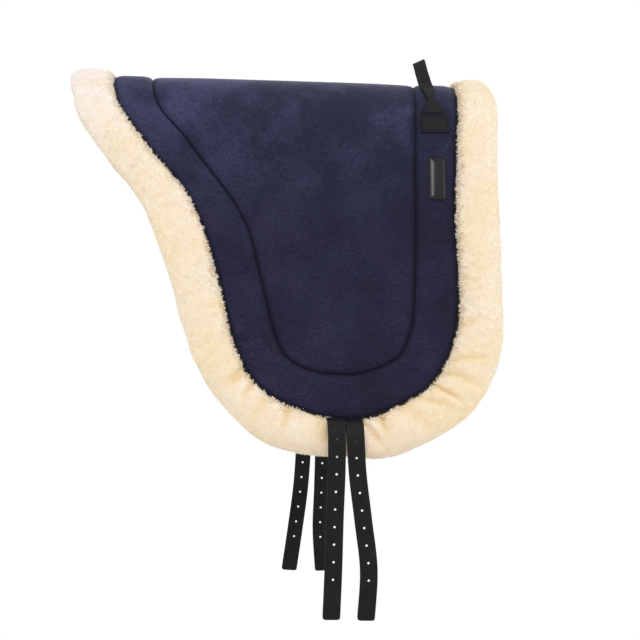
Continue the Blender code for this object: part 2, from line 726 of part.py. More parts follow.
def build():
    clear_scene()
    parts = new_collection(COLLECTION_NAME)
    cutters = new_collection("cutters")
    suede = new_material("navy_suede", (0.023, 0.024, 0.058), 0.85)
    foam = new_material("grey_foam", (0.35, 0.35, 0.34), 0.9)
    interlining = new_material("white_interlining", (0.72, 0.71, 0.68), 0.9)
    fleece = new_material("cream_fleece", (0.93, 0.79, 0.55), 0.95)
    filling = new_material("white_filling", (0.85, 0.85, 0.83), 1.0)
    thread = new_material("black_thread", (0.012, 0.012, 0.016), 0.7)
    webbing = new_material("black_webbing", (0.012, 0.012, 0.014), 0.75)
    strap = new_material("black_strap", (0.01, 0.01, 0.012), 0.5)
    plate = new_material("black_plate", (0.015, 0.013, 0.013), 0.35)
    dome = new_material("black_gloss", (0.02, 0.016, 0.015), 0.12)

    new_object("seat_cover", seat_cover(), parts, suede)
    new_object("border_cover", border_cover(), parts, suede)
    new_object("seat_foam", seat_foam(), parts, foam)
    new_object("border_foam", border_foam(), parts, foam)
    layer = flat_layer("interlining", INTERLINING_FLOOR, INTERLINING_THICKNESS)
    new_object("interlining", layer, parts, interlining)
    new_object("fleece_lining", flat_layer("fleece_lining", 0, LINING_THICKNESS), parts, fleece)
    new_object("edge_roll_fleece", edge_roll_fleece(), parts, fleece)
    new_object("edge_roll_filling", edge_roll_filling(), parts, filling)
    new_object("edge_overlock", edge_overlock(), parts, thread)
    new_object("girth_web_front", girth_web("girth_web_front", 1), parts, webbing)
    new_object("girth_web_rear", girth_web("girth_web_rear", -1), parts, webbing)

    for name, (side, place, sway_shares) in BILLET_SWAY_SHARES.items():
        make_billet(name, side, place, sway_shares, parts, cutters, strap)

    new_object("handle_end_right", handle_end("handle_end_right", 1), parts, webbing)
    new_object("handle_end_left", handle_end("handle_end_left", -1), parts, webbing)
    handle = new_object("grab_handle", grab_handle(), parts, webbing)
    handle.location = handle_axis()
    handle.rotation_euler = (0, -HANDLE_LEAN, -HANDLE_SKEW)

    floor = border_height(1, 0.5) + LAYER_GAP
    base = rounded_plate("badge_plate", BADGE_WIDTH, BADGE_LENGTH, BADGE_PLATE_THICKNESS, 0)
    new_object("badge_plate", base, parts, plate).matrix_world = badge_seat(floor)
    window = (BADGE_WIDTH - 2 * BADGE_RIM, BADGE_LENGTH - 2 * BADGE_RIM)
    lens = rounded_plate("badge_dome", *window, BADGE_DOME_THICKNESS, BADGE_DOME_THICKNESS / 2)
    top = floor + BADGE_PLATE_THICKNESS + LAYER_GAP
    new_object("badge_dome", lens, parts, dome).matrix_world = badge_seat(top)


build()
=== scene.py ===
# Bareback riding pad: navy suede over foam, a rolled fleece edge, four girth billets and a webbing handle.
# X runs to the horse's front, Y to its left, Z up. The right flank, on the -Y side, faces the camera.
import math

import bmesh
import bpy
import numpy as np
from mathutils import Matrix, Vector, noise
from mathutils.geometry import delaunay_2d_cdt
from mathutils.kdtree import KDTree


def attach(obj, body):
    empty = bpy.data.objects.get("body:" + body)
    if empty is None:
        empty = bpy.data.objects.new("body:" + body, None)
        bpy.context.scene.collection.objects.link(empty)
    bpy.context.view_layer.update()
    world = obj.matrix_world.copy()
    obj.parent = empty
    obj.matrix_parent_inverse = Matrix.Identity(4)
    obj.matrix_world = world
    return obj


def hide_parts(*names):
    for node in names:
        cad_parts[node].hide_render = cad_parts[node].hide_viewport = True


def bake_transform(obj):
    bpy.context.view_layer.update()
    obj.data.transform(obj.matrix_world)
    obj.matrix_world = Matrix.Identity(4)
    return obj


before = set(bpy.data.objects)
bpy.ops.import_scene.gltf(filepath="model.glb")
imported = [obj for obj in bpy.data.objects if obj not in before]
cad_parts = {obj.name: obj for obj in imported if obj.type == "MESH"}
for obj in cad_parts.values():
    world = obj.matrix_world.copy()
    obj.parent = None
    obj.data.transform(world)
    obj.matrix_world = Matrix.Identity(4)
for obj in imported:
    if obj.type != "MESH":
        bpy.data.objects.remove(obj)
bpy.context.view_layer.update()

# Studio
# A long lens looks square on at the right flank from just below the middle of the pad. The ground is where the
# horse would stand, and soft lamps stand in front, at both sides and behind.
PHOTO_WIDTH = 640
FOCAL_PIXELS = 1811
CAMERA_DISTANCE = 2.8
CAMERA_HEIGHT = -0.325
CAMERA_YAW = math.radians(6.24)
CAMERA_PITCH = math.radians(0.44)
CAMERA_AIM_X = 0.064
GROUND_LEVEL = -1.45
GROUND_SIZE = 40.0
WHITE = (1, 1, 1, 1)
PAPER_GREY = 0.86
SKY_STRENGTH = 0.86
LAMP_AIM = Vector((0, 0, -0.3))
LAMP_SIZE = 1.6
LAMPS = {
    "front_lamp": ((-0.4, -2.6, 1.7), 34),
    "right_lamp": ((2.6, -1.4, 0.4), 18),
    "left_lamp": ((-2.6, -0.6, 0.2), 9),
    "back_lamp": ((0.6, 2.6, 1.2), 34),
}


def node(tree, kind, inputs=None, **settings):
    """Adds a node; each input is a value, or the socket that it is linked from."""
    made = tree.nodes.new(kind)
    for name, value in settings.items():
        setattr(made, name, value)
    for name, value in (inputs or {}).items():
        if isinstance(value, bpy.types.NodeSocket):
            tree.links.new(value, made.inputs[name])
        else:
            made.inputs[name].default_value = value
    return made


def maths(tree, operation, *values):
    """The result of a maths node; each value is a number or a socket."""
    return node(tree, "ShaderNodeMath", dict(enumerate(values)), operation=operation).outputs[0]


def grey(level):
    return (level, level, level, 1)


def white_to_the_eye(tree, shaded):
    """What the camera, a gloss or a window sees is plain white; all other light meets the shader given."""
    path = node(tree, "ShaderNodeLightPath").outputs
    seen = maths(tree, "MAXIMUM", path["Is Camera Ray"], path["Is Glossy Ray"])
    seen = maths(tree, "MAXIMUM", seen, path["Is Transmission Ray"])
    white = node(tree, "ShaderNodeEmission", {"Color": WHITE, "Strength": 1.0}).outputs[0]
    return node(tree, "ShaderNodeMixShader", {0: seen, 1: shaded, 2: white}).outputs[0]


def placed(name, data):
    """A new object in the scene."""
    made = bpy.data.objects.new(name, data)
    bpy.context.scene.collection.objects.link(made)
    return made


def make_camera():
    camera = placed("camera", bpy.data.cameras.new("camera"))
    ahead = Vector((
        math.sin(CAMERA_YAW) * math.cos(CAMERA_PITCH),
        math.cos(CAMERA_YAW) * math.cos(CAMERA_PITCH),
        -math.sin(CAMERA_PITCH),
    ))
    camera.location = (
        CAMERA_AIM_X - CAMERA_DISTANCE * math.tan(CAMERA_YAW),
        -CAMERA_DISTANCE,
        CAMERA_HEIGHT,
    )
    camera.rotation_euler = ahead.to_track_quat("-Z", "Y").to_euler()
    camera.data.lens = camera.data.sensor_width * FOCAL_PIXELS / PHOTO_WIDTH
    bpy.context.scene.camera = camera


def soft_lamp(name, place, power):
    lamp = placed(name, bpy.data.lights.new(name, "AREA"))
    lamp.data.shape = "DISK"
    lamp.data.size = LAMP_SIZE
    lamp.data.energy = power
    lamp.location = place
    lamp.rotation_euler = (LAMP_AIM - Vector(place)).to_track_quat("-Z", "Y").to_euler()


def make_world():
    """White behind the pad, and a slightly dimmer white that lights it from all round."""
    world = bpy.data.worlds.new("studio")
    bpy.context.scene.world = world
    world.use_nodes = True
    tree = world.node_tree
    tree.nodes.clear()
    glow = node(tree, "ShaderNodeBackground", {"Color": WHITE, "Strength": SKY_STRENGTH}).outputs[0]
    path = node(tree, "ShaderNodeLightPath").outputs
    seen = maths(tree, "MAXIMUM", path["Is Camera Ray"], path["Is Transmission Ray"])
    white = node(tree, "ShaderNodeBackground", {"Color": WHITE, "Strength": 1.0}).outputs[0]
    mix = node(tree, "ShaderNodeMixShader", {0: seen, 1: glow, 2: white})
    node(tree, "ShaderNodeOutputWorld", {"Surface": mix.outputs[0]})


def make_ground():
    bpy.ops.mesh.primitive_plane_add(size=GROUND_SIZE, location=(0, 0, GROUND_LEVEL))
    ground = bpy.context.object
    ground.name = "ground"
    paper = bpy.data.materials.new("pale_paper")
    paper.use_nodes = True
    tree = paper.node_tree
    matt = tree.nodes["Principled BSDF"]
    matt.inputs["Base Color"].default_value = grey(PAPER_GREY)
    matt.inputs["Roughness"].default_value = 0.9
    tree.links.new(white_to_the_eye(tree, matt.outputs[0]), tree.nodes["Material Output"].inputs["Surface"])
    ground.data.materials.append(paper)


make_camera()
make_world()
make_ground()
for name, (place, power) in LAMPS.items():
    soft_lamp(name, place, power)
bpy.context.scene.view_settings.view_transform = "Standard"

# Fleece lining
# The whole pad is cut flat and draped over the horse. Its lowest layer is fleece with the pile turned to the
# horse, tucked a little way under the edge roll.
SPINE_HALF_LENGTH = 0.325
CLOTH_DROP = 0.622
ARCH_RADIUS = 0.120
ARCH_ANGLE = math.radians(78)
CREST_FALL_SHARE = 0.018
LINING_THICKNESS = 0.009
LINING_GRID = 0.008
LINING_PILE = 0.0015
LINING_TUCK = 0.014
SKIN_GLOW_DEPTH = 0.006
TUFT_GLOW_DEPTH = 0.0008
STATIONS = 1200
FINE_STEPS = 200

# One flank's cutting pattern, from the crest's front round the hem to the crest's rear. Each row crosses the
# border: the seat seam, the suede's edge and the roll's outside, as shares of SPINE_HALF_LENGTH and CLOTH_DROP.
FLANK_SHARES = (
    ((0.640, 0.000), (0.825, 0.000), (1.000, 0.000)),
    ((0.606, 0.158), (0.803, 0.158), (1.000, 0.158)),
    ((0.588, 0.262), (0.777, 0.262), (0.979, 0.262)),
    ((0.578, 0.434), (0.762, 0.434), (0.975, 0.434)),
    ((0.560, 0.624), (0.762, 0.624), (0.973, 0.627)),
    ((0.535, 0.707), (0.726, 0.732), (0.952, 0.756)),
    ((0.468, 0.768), (0.615, 0.830), (0.812, 0.893)),
    ((0.323, 0.801), (0.400, 0.895), (0.505, 0.989)),
    ((0.231, 0.807), (0.228, 0.912), (0.252, 1.003)),
    ((0.092, 0.799), (-0.006, 0.881), (-0.091, 0.978)),
    ((-0.025, 0.765), (-0.178, 0.817), (-0.307, 0.878)),
    ((-0.080, 0.698), (-0.262, 0.714), (-0.434, 0.730)),
    ((-0.129, 0.582), (-0.320, 0.576), (-0.520, 0.563)),
    ((-0.209, 0.432), (-0.428, 0.404), (-0.657, 0.386)),
    ((-0.437, 0.262), (-0.634, 0.262), (-0.838, 0.262)),
    ((-0.585, 0.158), (-0.763, 0.158), (-0.962, 0.158)),
    ((-0.597, 0.000), (-0.775, 0.000), (-0.988, 0.000)),
)


def drape(x, down, height):
    """Lays flat cloth over the horse: an arch, then two straight flanks. The right flank counts down from 0."""
    reach = np.abs(down)
    angle = np.minimum(reach / ARCH_RADIUS, ARCH_ANGLE)
    below = np.maximum(reach - ARCH_RADIUS * ARCH_ANGLE, 0)
    out = (ARCH_RADIUS + height) * np.sin(angle) + below * math.cos(ARCH_ANGLE)
    level = (ARCH_RADIUS + height) * np.cos(angle) - ARCH_RADIUS - below * math.sin(ARCH_ANGLE)
    return np.stack((x, -np.sign(down) * out, level - CREST_FALL_SHARE * x), axis=-1)


def lay(flat, height):
    """Drapes places given as pairs: along the spine and down the flank."""
    return drape(flat[..., 0], flat[..., 1], height)


def pattern_points(column):
    near = [np.array(row[column]) * (SPINE_HALF_LENGTH, CLOTH_DROP) for row in FLANK_SHARES]
    return np.array(near + [point * (1, -1) for point in near[-2:0:-1]])


def catmull_rom(before, here, ahead, beyond, t):
    """A smooth curve's point at the share t of the way from here to ahead."""
    bend = (2 * before - 5 * here + 4 * ahead - beyond) * t * t
    twist = (3 * here - before - 3 * ahead + beyond) * t**3
    return here + 0.5 * ((ahead - before) * t + bend + twist)


def smooth_closed(points, place):
    """A smooth closed curve through the points, read at places counted in points."""
    start = np.floor(place).astype(int)
    around = (points[(start + k) % len(points)] for k in (-1, 0, 1, 2))
    return catmull_rom(*around, (place - start)[:, None])


def even_places(points, count):
    """Places on the closed curve that lie evenly along its length."""
    fine = np.linspace(0, len(points), len(points) * FINE_STEPS + 1)
    spots = smooth_closed(points, fine)
    travel = np.concatenate(([0], np.cumsum(np.linalg.norm(np.diff(spots, axis=0), axis=1))))
    return np.interp(np.linspace(0, travel[-1], count, endpoint=False), travel, fine)


def shifted(line, towards, distance):
    step = towards - line
    return line + step / np.linalg.norm(step, axis=1)[:, None] * distance


places = even_places(pattern_points(1), STATIONS)
SEAM_LINE, EDGE_LINE, ROLL_LINE = (smooth_closed(pattern_points(column), places) for column in (0, 1, 2))


def inside(line, spots):
    """Which spots lie inside a closed line, by counting the line's crossings."""
    x, y = spots[:, 0][:, None], spots[:, 1][:, None]
    ax, ay = line[:, 0], line[:, 1]
    bx, by = np.roll(ax, -1), np.roll(ay, -1)
    rise = np.where(by == ay, 1e-12, by - ay)
    crossed = ((ay > y) != (by > y)) & (x < (bx - ax) * (y - ay) / rise + ax)
    return crossed.sum(axis=1) % 2 == 1


def distances_to(line, spots):
    tree = KDTree(len(line))
    for index, (x, down) in enumerate(line):
        tree.insert((x, down, 0), index)
    tree.balance()
    return np.array([tree.find((x, down, 0))[2] for x, down in spots])


def new_piece(name, mesh, material):
    mesh.materials.append(material)
    mesh.shade_smooth()
    return placed(name, mesh)


def mark(piece, name, values):
    """Writes one value a point into the mesh, for a material or a geometry tree to read."""
    if name not in piece.data.attributes:
        piece.data.attributes.new(name, "FLOAT", "POINT")
    piece.data.attributes[name].data.foreach_set("value", np.asarray(values, np.float32))


def panel(name, lines, grid, height_at, material):
    """Cloth cut to its first line and lifted by height_at, with evenly spread triangles inside its last line."""
    (left, lowest), (right, highest) = lines[0].min(axis=0), lines[0].max(axis=0)
    x, down = np.meshgrid(np.arange(left, right, grid), np.arange(lowest, highest, grid * math.sqrt(0.75)))
    x[1::2] += grid / 2
    spread = np.stack((x.ravel(), down.ravel()), axis=1)
    spread = spread[inside(lines[-1], spread)]
    spread = spread[distances_to(lines[-1], spread) > grid / 2]
    spots = [Vector(spot) for spot in np.concatenate((*lines, spread))]
    rim = [(k, (k + 1) % len(lines[0])) for k in range(len(lines[0]))]
    flat, _, faces, _, _, _ = delaunay_2d_cdt(spots, rim, [], 1, 1e-7, False)
    flat = np.array([tuple(spot) for spot in flat])
    middles = np.array([flat[face].mean(axis=0) for face in faces])
    faces = [face for face, kept in zip(faces, inside(lines[0], middles)) if kept]
    mesh = bpy.data.meshes.new(name)
    mesh.from_pydata(lay(flat, height_at(flat)).tolist(), [], faces)
    lay_pattern(mesh, flat)
    piece = new_piece(name, mesh, material)
    mark(piece, "away", distances_to(lines[0], flat))
    return piece


def lay_pattern(mesh, flat):
    """Keeps each point's place on the flat cloth, in metres, as the UV map."""
    corners = np.zeros(len(mesh.loops), int)
    mesh.loops.foreach_get("vertex_index", corners)
    mesh.uv_layers.new(name="pattern").data.foreach_set("uv", flat[corners].astype(np.float32).ravel())


def blotches(tree, coords, scale, detail=3.0, roughness=0.55, warp=0.0):
    """Soft random patches from 0 to 1; scale counts them per metre."""
    return node(tree, "ShaderNodeTexNoise", {
        "Vector": coords, "Scale": scale, "Detail": detail, "Roughness": roughness, "Distortion": warp,
    }).outputs["Fac"]


def ranged(tree, value, start, end, low=0.0, high=1.0):
    """A value that runs from low to high as the one given runs from start to end."""
    return node(tree, "ShaderNodeMapRange", {
        "Value": value, "From Min": start, "From Max": end, "To Min": low, "To Max": high,
    }).outputs[0]


def between(tree, share, low, high, start=0.3, end=0.7):
    """A colour that runs from low to high as the share runs from start to end."""
    return node(tree, "ShaderNodeMix", {"Factor": ranged(tree, share, start, end), 6: low, 7: high},
                data_type="RGBA").outputs[2]


def tinted(tree, colour, share, low, high, start=0.0, end=1.0):
    """A colour multiplied by a tint that runs from low to high as the share runs from start to end."""
    tint = between(tree, share, low, high, start, end)
    return node(tree, "ShaderNodeMix", {"Factor": 1.0, 6: colour, 7: tint}, data_type="RGBA",
                blend_type="MULTIPLY").outputs[2]


def coords_of(tree, kind="Object"):
    return node(tree, "ShaderNodeTexCoord").outputs[kind]


def marked(tree, name):
    """The values that mark() wrote into the mesh."""
    return node(tree, "ShaderNodeAttribute", attribute_name=name).outputs["Fac"]


def waves(tree, coordinate, count):
    """A wave along a coordinate, counted per metre."""
    return maths(tree, "SINE", maths(tree, "MULTIPLY", coordinate, count * math.tau))


def new_finish(name, roughness, gloss, sheen=0.0, sheen_tint=(1, 1, 1, 1)):
    """A material with its shader's plain values set; colour and bump are linked by the caller."""
    finish = bpy.data.materials.new(name)
    finish.use_nodes = True
    shader = finish.node_tree.nodes["Principled BSDF"]
    shader.inputs["Roughness"].default_value = roughness
    shader.inputs["Specular IOR Level"].default_value = gloss
    shader.inputs["Sheen Weight"].default_value = sheen
    shader.inputs["Sheen Roughness"].default_value = 0.45
    shader.inputs["Sheen Tint"].default_value = sheen_tint
    return finish, finish.node_tree, shader


def raise_bump(tree, shader, height, strength, depth):
    bump = node(tree, "ShaderNodeBump", {"Height": height, "Strength": strength, "Distance": depth})
    tree.links.new(bump.outputs[0], shader.inputs["Normal"])


def fleece_finish(name, glow_depth):
    """Cream pile, whiter at the rear of the crest and in patches, with painted shade that darkens and yellows it
    in the folds and towards the hem.
    """
    finish, tree, shader = new_finish(name, 0.9, 0.15, sheen=0.15, sheen_tint=(1, 0.96, 0.9, 1))
    coords = coords_of(tree)
    ahead, _, level = node(tree, "ShaderNodeSeparateXYZ", {0: coords}).outputs
    cream = between(tree, blotches(tree, coords, 14), (0.795, 0.682, 0.478, 1), (0.812, 0.722, 0.622, 1))
    rear_crest = maths(tree, "MULTIPLY", ranged(tree, ahead, -0.10, -0.28), ranged(tree, level, -0.16, 0.02))
    pale = maths(tree, "MAXIMUM", rear_crest, marked(tree, "pale"))
    cream = between(tree, pale, cream, (0.805, 0.748, 0.715, 1), 0.0, 1.0)
    # Painted shade: darker and a little yellower from 0.49 m to 0.56 m below the crest, towards the hem.
    cream = tinted(tree, cream, level, WHITE, (0.93, 0.90, 0.86, 1), -0.49, -0.56)
    locks = blotches(tree, coords, 95, 5, 0.6, 0.4)
    cream = tinted(tree, cream, locks, (0.985, 0.95, 0.88, 1), (1.02, 1.02, 1.03, 1), 0.35, 0.65)
    # Painted shade, darker and yellower, down in the roll's folds.
    cream = tinted(tree, cream, marked(tree, "painted_fold_shade"), WHITE, (0.99, 0.90, 0.72, 1))
    tree.links.new(cream, shader.inputs["Base Color"])
    shader.inputs["Subsurface Weight"].default_value = 0.5
    shader.inputs["Subsurface Radius"].default_value = (1.0, 0.85, 0.65)
    shader.inputs["Subsurface Scale"].default_value = glow_depth
    raise_bump(tree, shader, blotches(tree, coords, 260, 4, 0.7), 0.25, 0.0012)
    return finish


def set_input(modifier, tree, name, value):
    for item in tree.interface.items_tree:
        if item.item_type == "SOCKET" and item.in_out == "INPUT" and item.name == name:
            modifier[item.identifier] = value


def grown(name, carrier, tree, body, **values):
    """Runs a geometry tree over a carrier piece and keeps the result as a plain mesh on a body."""
    modifier = carrier.modifiers.new(tree.name, "NODES")
    modifier.node_group = tree
    for label, value in values.items():
        set_input(modifier, tree, label.replace("_", " "), value)
    mesh = bpy.data.meshes.new_from_object(carrier.evaluated_get(bpy.context.evaluated_depsgraph_get()))
    carrier.modifiers.remove(modifier)
    piece = placed(name, mesh)
    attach(piece, body)
    return piece


def new_tree(name, inputs):
    tree = bpy.data.node_groups.new(name, "GeometryNodeTree")
    tree.interface.new_socket("Geometry", in_out="INPUT", socket_type="NodeSocketGeometry")
    for label, kind, value in inputs:
        socket = tree.interface.new_socket(label, in_out="INPUT", socket_type=kind)
        if value is not None:
            socket.default_value = value
    tree.interface.new_socket("Geometry", in_out="OUTPUT", socket_type="NodeSocketGeometry")
    return tree, node(tree, "NodeGroupInput").outputs


def finish_tree(tree, geometry, material):
    real = node(tree, "GeometryNodeRealizeInstances", {"Geometry": geometry})
    dressed = node(tree, "GeometryNodeSetMaterial", {"Geometry": real.outputs[0], "Material": material})
    node(tree, "NodeGroupOutput", {0: dressed.outputs[0]})


def pile_tree():
    """Locks of pile, tossed about, spread over a skin as densely as its attribute named pile allows."""
    tree, given = new_tree("fleece_pile", (
        ("Density", "NodeSocketFloat", 100000.0),
        ("Lock Length", "NodeSocketFloat", 0.003),
        ("Lock Radius", "NodeSocketFloat", 0.0004),
        ("Tip Radius", "NodeSocketFloat", 0.0),
        ("Toss", "NodeSocketFloat", 0.6),
        ("Seed", "NodeSocketInt", 1),
        ("Pile Material", "NodeSocketMaterial", None),
    ))
    allowed = node(tree, "GeometryNodeInputNamedAttribute", {"Name": "pile"}, data_type="FLOAT")
    density = maths(tree, "MULTIPLY", given["Density"], allowed.outputs[0])
    spots = node(tree, "GeometryNodeDistributePointsOnFaces", {
        "Mesh": given["Geometry"], "Density": density, "Seed": given["Seed"],
    })
    lock = node(tree, "GeometryNodeMeshCone", {
        "Vertices": 3, "Radius Top": given["Tip Radius"], "Radius Bottom": given["Lock Radius"],
        "Depth": given["Lock Length"],
    })
    back = maths(tree, "SUBTRACT", 0.0, given["Toss"])
    least = node(tree, "ShaderNodeCombineXYZ", {"X": back, "Y": back})
    most = node(tree, "ShaderNodeCombineXYZ", {"X": given["Toss"], "Y": given["Toss"], "Z": math.tau})
    turn = node(tree, "FunctionNodeRandomValue", {
        "Min": least.outputs[0], "Max": most.outputs[0], "Seed": given["Seed"],
    }, data_type="FLOAT_VECTOR")
    size = node(tree, "FunctionNodeRandomValue", {2: 0.55, 3: 1.25, "Seed": given["Seed"]}, data_type="FLOAT")
    standing = node(tree, "GeometryNodeInstanceOnPoints", {
        "Points": spots.outputs["Points"], "Instance": lock.outputs["Mesh"],
        "Rotation": spots.outputs["Rotation"], "Scale": size.outputs[1],
    })
    tossed = node(tree, "GeometryNodeRotateInstances", {
        "Instances": standing.outputs[0], "Rotation": turn.outputs[0], "Local Space": True,
    })
    finish_tree(tree, tossed.outputs[0], given["Pile Material"])
    return tree


fleece = fleece_finish("cream_fleece", SKIN_GLOW_DEPTH)
tufts = fleece_finish("cream_tufts", TUFT_GLOW_DEPTH)
fleece_pile = pile_tree()

lining = panel("lining_fleece", [shifted(EDGE_LINE, ROLL_LINE, LINING_TUCK)[::2]], LINING_GRID,
               lambda flat: np.full(len(flat), LINING_PILE), fleece)
lining.data.flip_normals()
mark(lining, "pile", np.ones(len(lining.data.vertices)))
lining_pile = grown("lining_pile", lining, fleece_pile, "pad", Density=80000.0, Lock_Length=0.0038,
                    Lock_Radius=0.0007, Seed=3, Pile_Material=fleece)
backing = lining.modifiers.new("pile_backing", "SOLIDIFY")
backing.thickness = LINING_THICKNESS - LINING_PILE
backing.offset = -1
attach(lining, "pad")
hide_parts("fleece_lining")

# Interlining, girth webs and foam
# Woven cloth under the foam holds the seams. Two webs run over it from billet to billet, and grey foam lies on
# top. All of it is closed in by the suede, the lining and the roll.


def cloth_finish(name, dark, light, thread_count, roughness):
    """Plain weave: crossed threads, counted per metre, with a little unevenness."""
    finish, tree, shader = new_finish(name, roughness, 0.2)
    ahead, _, level = node(tree, "ShaderNodeSeparateXYZ", {0: coords_of(tree)}).outputs
    weave = maths(tree, "MULTIPLY", waves(tree, ahead, thread_count), waves(tree, level, thread_count))
    tree.links.new(between(tree, weave, dark, light, -1, 1), shader.inputs["Base Color"])
    raise_bump(tree, shader, weave, 0.4, 0.0004)
    return finish


def foam_finish(name, dark, light, cell_count):
    """Open cells over the cut foam, counted per metre."""
    finish, tree, shader = new_finish(name, 0.9, 0.2)
    cells = node(tree, "ShaderNodeTexVoronoi", {"Vector": coords_of(tree), "Scale": cell_count})
    tree.links.new(between(tree, cells.outputs["Distance"], dark, light, 0, 0.6), shader.inputs["Base Color"])
    raise_bump(tree, shader, cells.outputs["Distance"], 0.5, 0.0006)
    return finish


def repaint(names, finish):
    for name in names:
        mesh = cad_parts[name].data
        mesh.materials.clear()
        mesh.materials.append(finish)


web = cloth_finish("black_web", (0.006, 0.006, 0.008, 1), (0.03, 0.03, 0.034, 1), 900, 0.75)
repaint(["interlining"], cloth_finish("white_cloth", (0.55, 0.54, 0.5, 1), (0.78, 0.77, 0.73, 1), 1200, 0.9))
repaint(["girth_web_front", "girth_web_rear"], web)
repaint(["seat_foam", "border_foam"], foam_finish("grey_foam", (0.2, 0.2, 0.2, 1), (0.42, 0.42, 0.41, 1), 900))
repaint(["edge_roll_filling"], foam_finish("white_filling", (0.6, 0.6, 0.58, 1), (0.85, 0.85, 0.83, 1), 300))

# Seat cover
# Brushed navy suede cloth over foam, from flank to flank. It is sewn down all round along a sunk seam, and the
# foam puffs it up from there.
SEAM_HEIGHT = 0.0165
SEAM_GAP = 0.0004
SEAT_RING_GAPS = (0.0018, 0.0042, 0.0082)
SEAT_SHOULDER = 0.0052
SEAT_SHOULDER_WIDTH = 0.017
SEAT_CROWN = 0.0018
SEAT_CROWN_WIDTH = 0.10
SEAT_GRID = 0.0066
SEAT_SETTLING = 0.0008
COVER_THICKNESS = 0.0008
PUFF_PRESSURE = 4.0
PUFF_FRAMES = 20


def rounded(distance, width):
    """A quarter round: 0 at the seam, 1 from the width on."""
    return np.sqrt(1 - (1 - np.clip(distance / width, 0, 1)) ** 2)


def suede_finish():
    """Navy suede: strokes where the nap lies this way and that, a little darker near the crest's middle, painted
    light on the crest, painted shade low down, in the seams and crease valleys, and a darker tone where marked.
    Fine wrinkles get a painted highlight where the cloth is gathered."""
    finish, tree, shader = new_finish("navy_suede", 0.85, 0.12, sheen=0.10, sheen_tint=(0.6, 0.66, 1.0, 1))
    coords = coords_of(tree, "UV")
    ahead, down, _ = node(tree, "ShaderNodeSeparateXYZ", {0: coords}).outputs
    strokes = maths(tree, "MULTIPLY_ADD", ahead, -0.22, blotches(tree, coords, 13, 7, 0.66, 0.15))
    # Nap strokes in two tones. The crest's lighter tone is painted light from above, and the flank's darker tone
    # is painted shade. The strokes are the nap's own pattern.
    hem_nap_painted_shade = between(tree, strokes, (0.0130, 0.0123, 0.0305, 1), (0.0185, 0.0177, 0.0430, 1), 0.38, 0.60)
    crest_nap_painted_light = between(tree, strokes, (0.0215, 0.0220, 0.0530, 1), (0.0400, 0.0410, 0.0930, 1), 0.45, 0.59)
    # Darker within 4 cm of a point 3 cm ahead of the crest's middle, and back to full tone 17 cm from it.
    from_crest_middle = maths(tree, "ABSOLUTE", maths(tree, "SUBTRACT", ahead, 0.03))
    crest_nap_painted_light = tinted(tree, crest_nap_painted_light, from_crest_middle, grey(0.76), WHITE, 0.04, 0.17)
    # Painted light and shade: the crest's lighter tone fades into the darker flank tone from 4 cm to 30 cm down
    # the flank.
    navy = between(tree, maths(tree, "ABSOLUTE", down), crest_nap_painted_light, hem_nap_painted_shade, 0.04, 0.30)
    broad = maths(tree, "MULTIPLY_ADD", ahead, -0.6, blotches(tree, coords, 7))
    navy = tinted(tree, navy, broad, grey(0.84), grey(1.12), 0.3, 0.7)
    speckle = blotches(tree, coords, 240, 3, 0.7)
    navy = tinted(tree, navy, speckle, (0.70, 0.70, 0.74, 1), (1.30, 1.30, 1.25, 1), 0.34, 0.66)
    nap = blotches(tree, coords, 900, 4, 0.7)
    navy = tinted(tree, navy, nap, (0.75, 0.75, 0.78, 1), (1.22, 1.22, 1.2, 1), 0.3, 0.7)
    # Painted shade in the seam groove, on the turnings and in the border's crease valleys. On the border the same
    # mark also gives a slightly darker tone, more so towards the rear.
    navy = tinted(tree, navy, marked(tree, "painted_shade_and_tone"), WHITE, (0.42, 0.42, 0.45, 1))
    stretched = node(tree, "ShaderNodeMapping", {"Vector": coords, "Scale": (24, 85, 1)}).outputs[0]
    from_ridge = maths(tree, "SUBTRACT", blotches(tree, stretched, 1, 1.5, 0.5, 0.4), 0.5)
    wrinkles = ranged(tree, maths(tree, "ABSOLUTE", from_ridge), 0.0, 0.07, 1.0, 0.0)
    broken = ranged(tree, blotches(tree, coords, 38), 0.48, 0.62)
    wrinkles = maths(tree, "MULTIPLY", wrinkles, maths(tree, "MULTIPLY", marked(tree, "wrinkled"), broken))
    # Painted highlight on the ridges of the fine wrinkles.
    navy = tinted(tree, navy, wrinkles, WHITE, (1.7, 1.7, 1.6, 1))
    tree.links.new(navy, shader.inputs["Base Color"])
    lumps = blotches(tree, coords, 110, 3, 0.6)
    soft = node(tree, "ShaderNodeMix", {"Factor": 0.4, 2: lumps, 3: nap}).outputs[0]
    raise_bump(tree, shader, maths(tree, "MULTIPLY_ADD", wrinkles, 2.5, soft), 0.4, 0.0011)
    return finish


def random_bumps(spots, scale, seed):
    """Smooth noise from -1 to 1 at points in space, with lumps about 1 / scale across."""
    return np.array([noise.noise(Vector(p) * scale + Vector((seed, seed, seed))) for p in spots])


def seat_height(flat):
    away = distances_to(SEAM_LINE, flat)
    lift = SEAT_SHOULDER * rounded(away, SEAT_SHOULDER_WIDTH)
    crown = SEAT_CROWN * np.sin(np.clip(away / SEAT_CROWN_WIDTH, 0, 1) * math.pi / 2)
    return SEAM_HEIGHT + lift + crown - SEAT_SETTLING * np.clip(away / SEAT_SHOULDER_WIDTH, 0, 1)


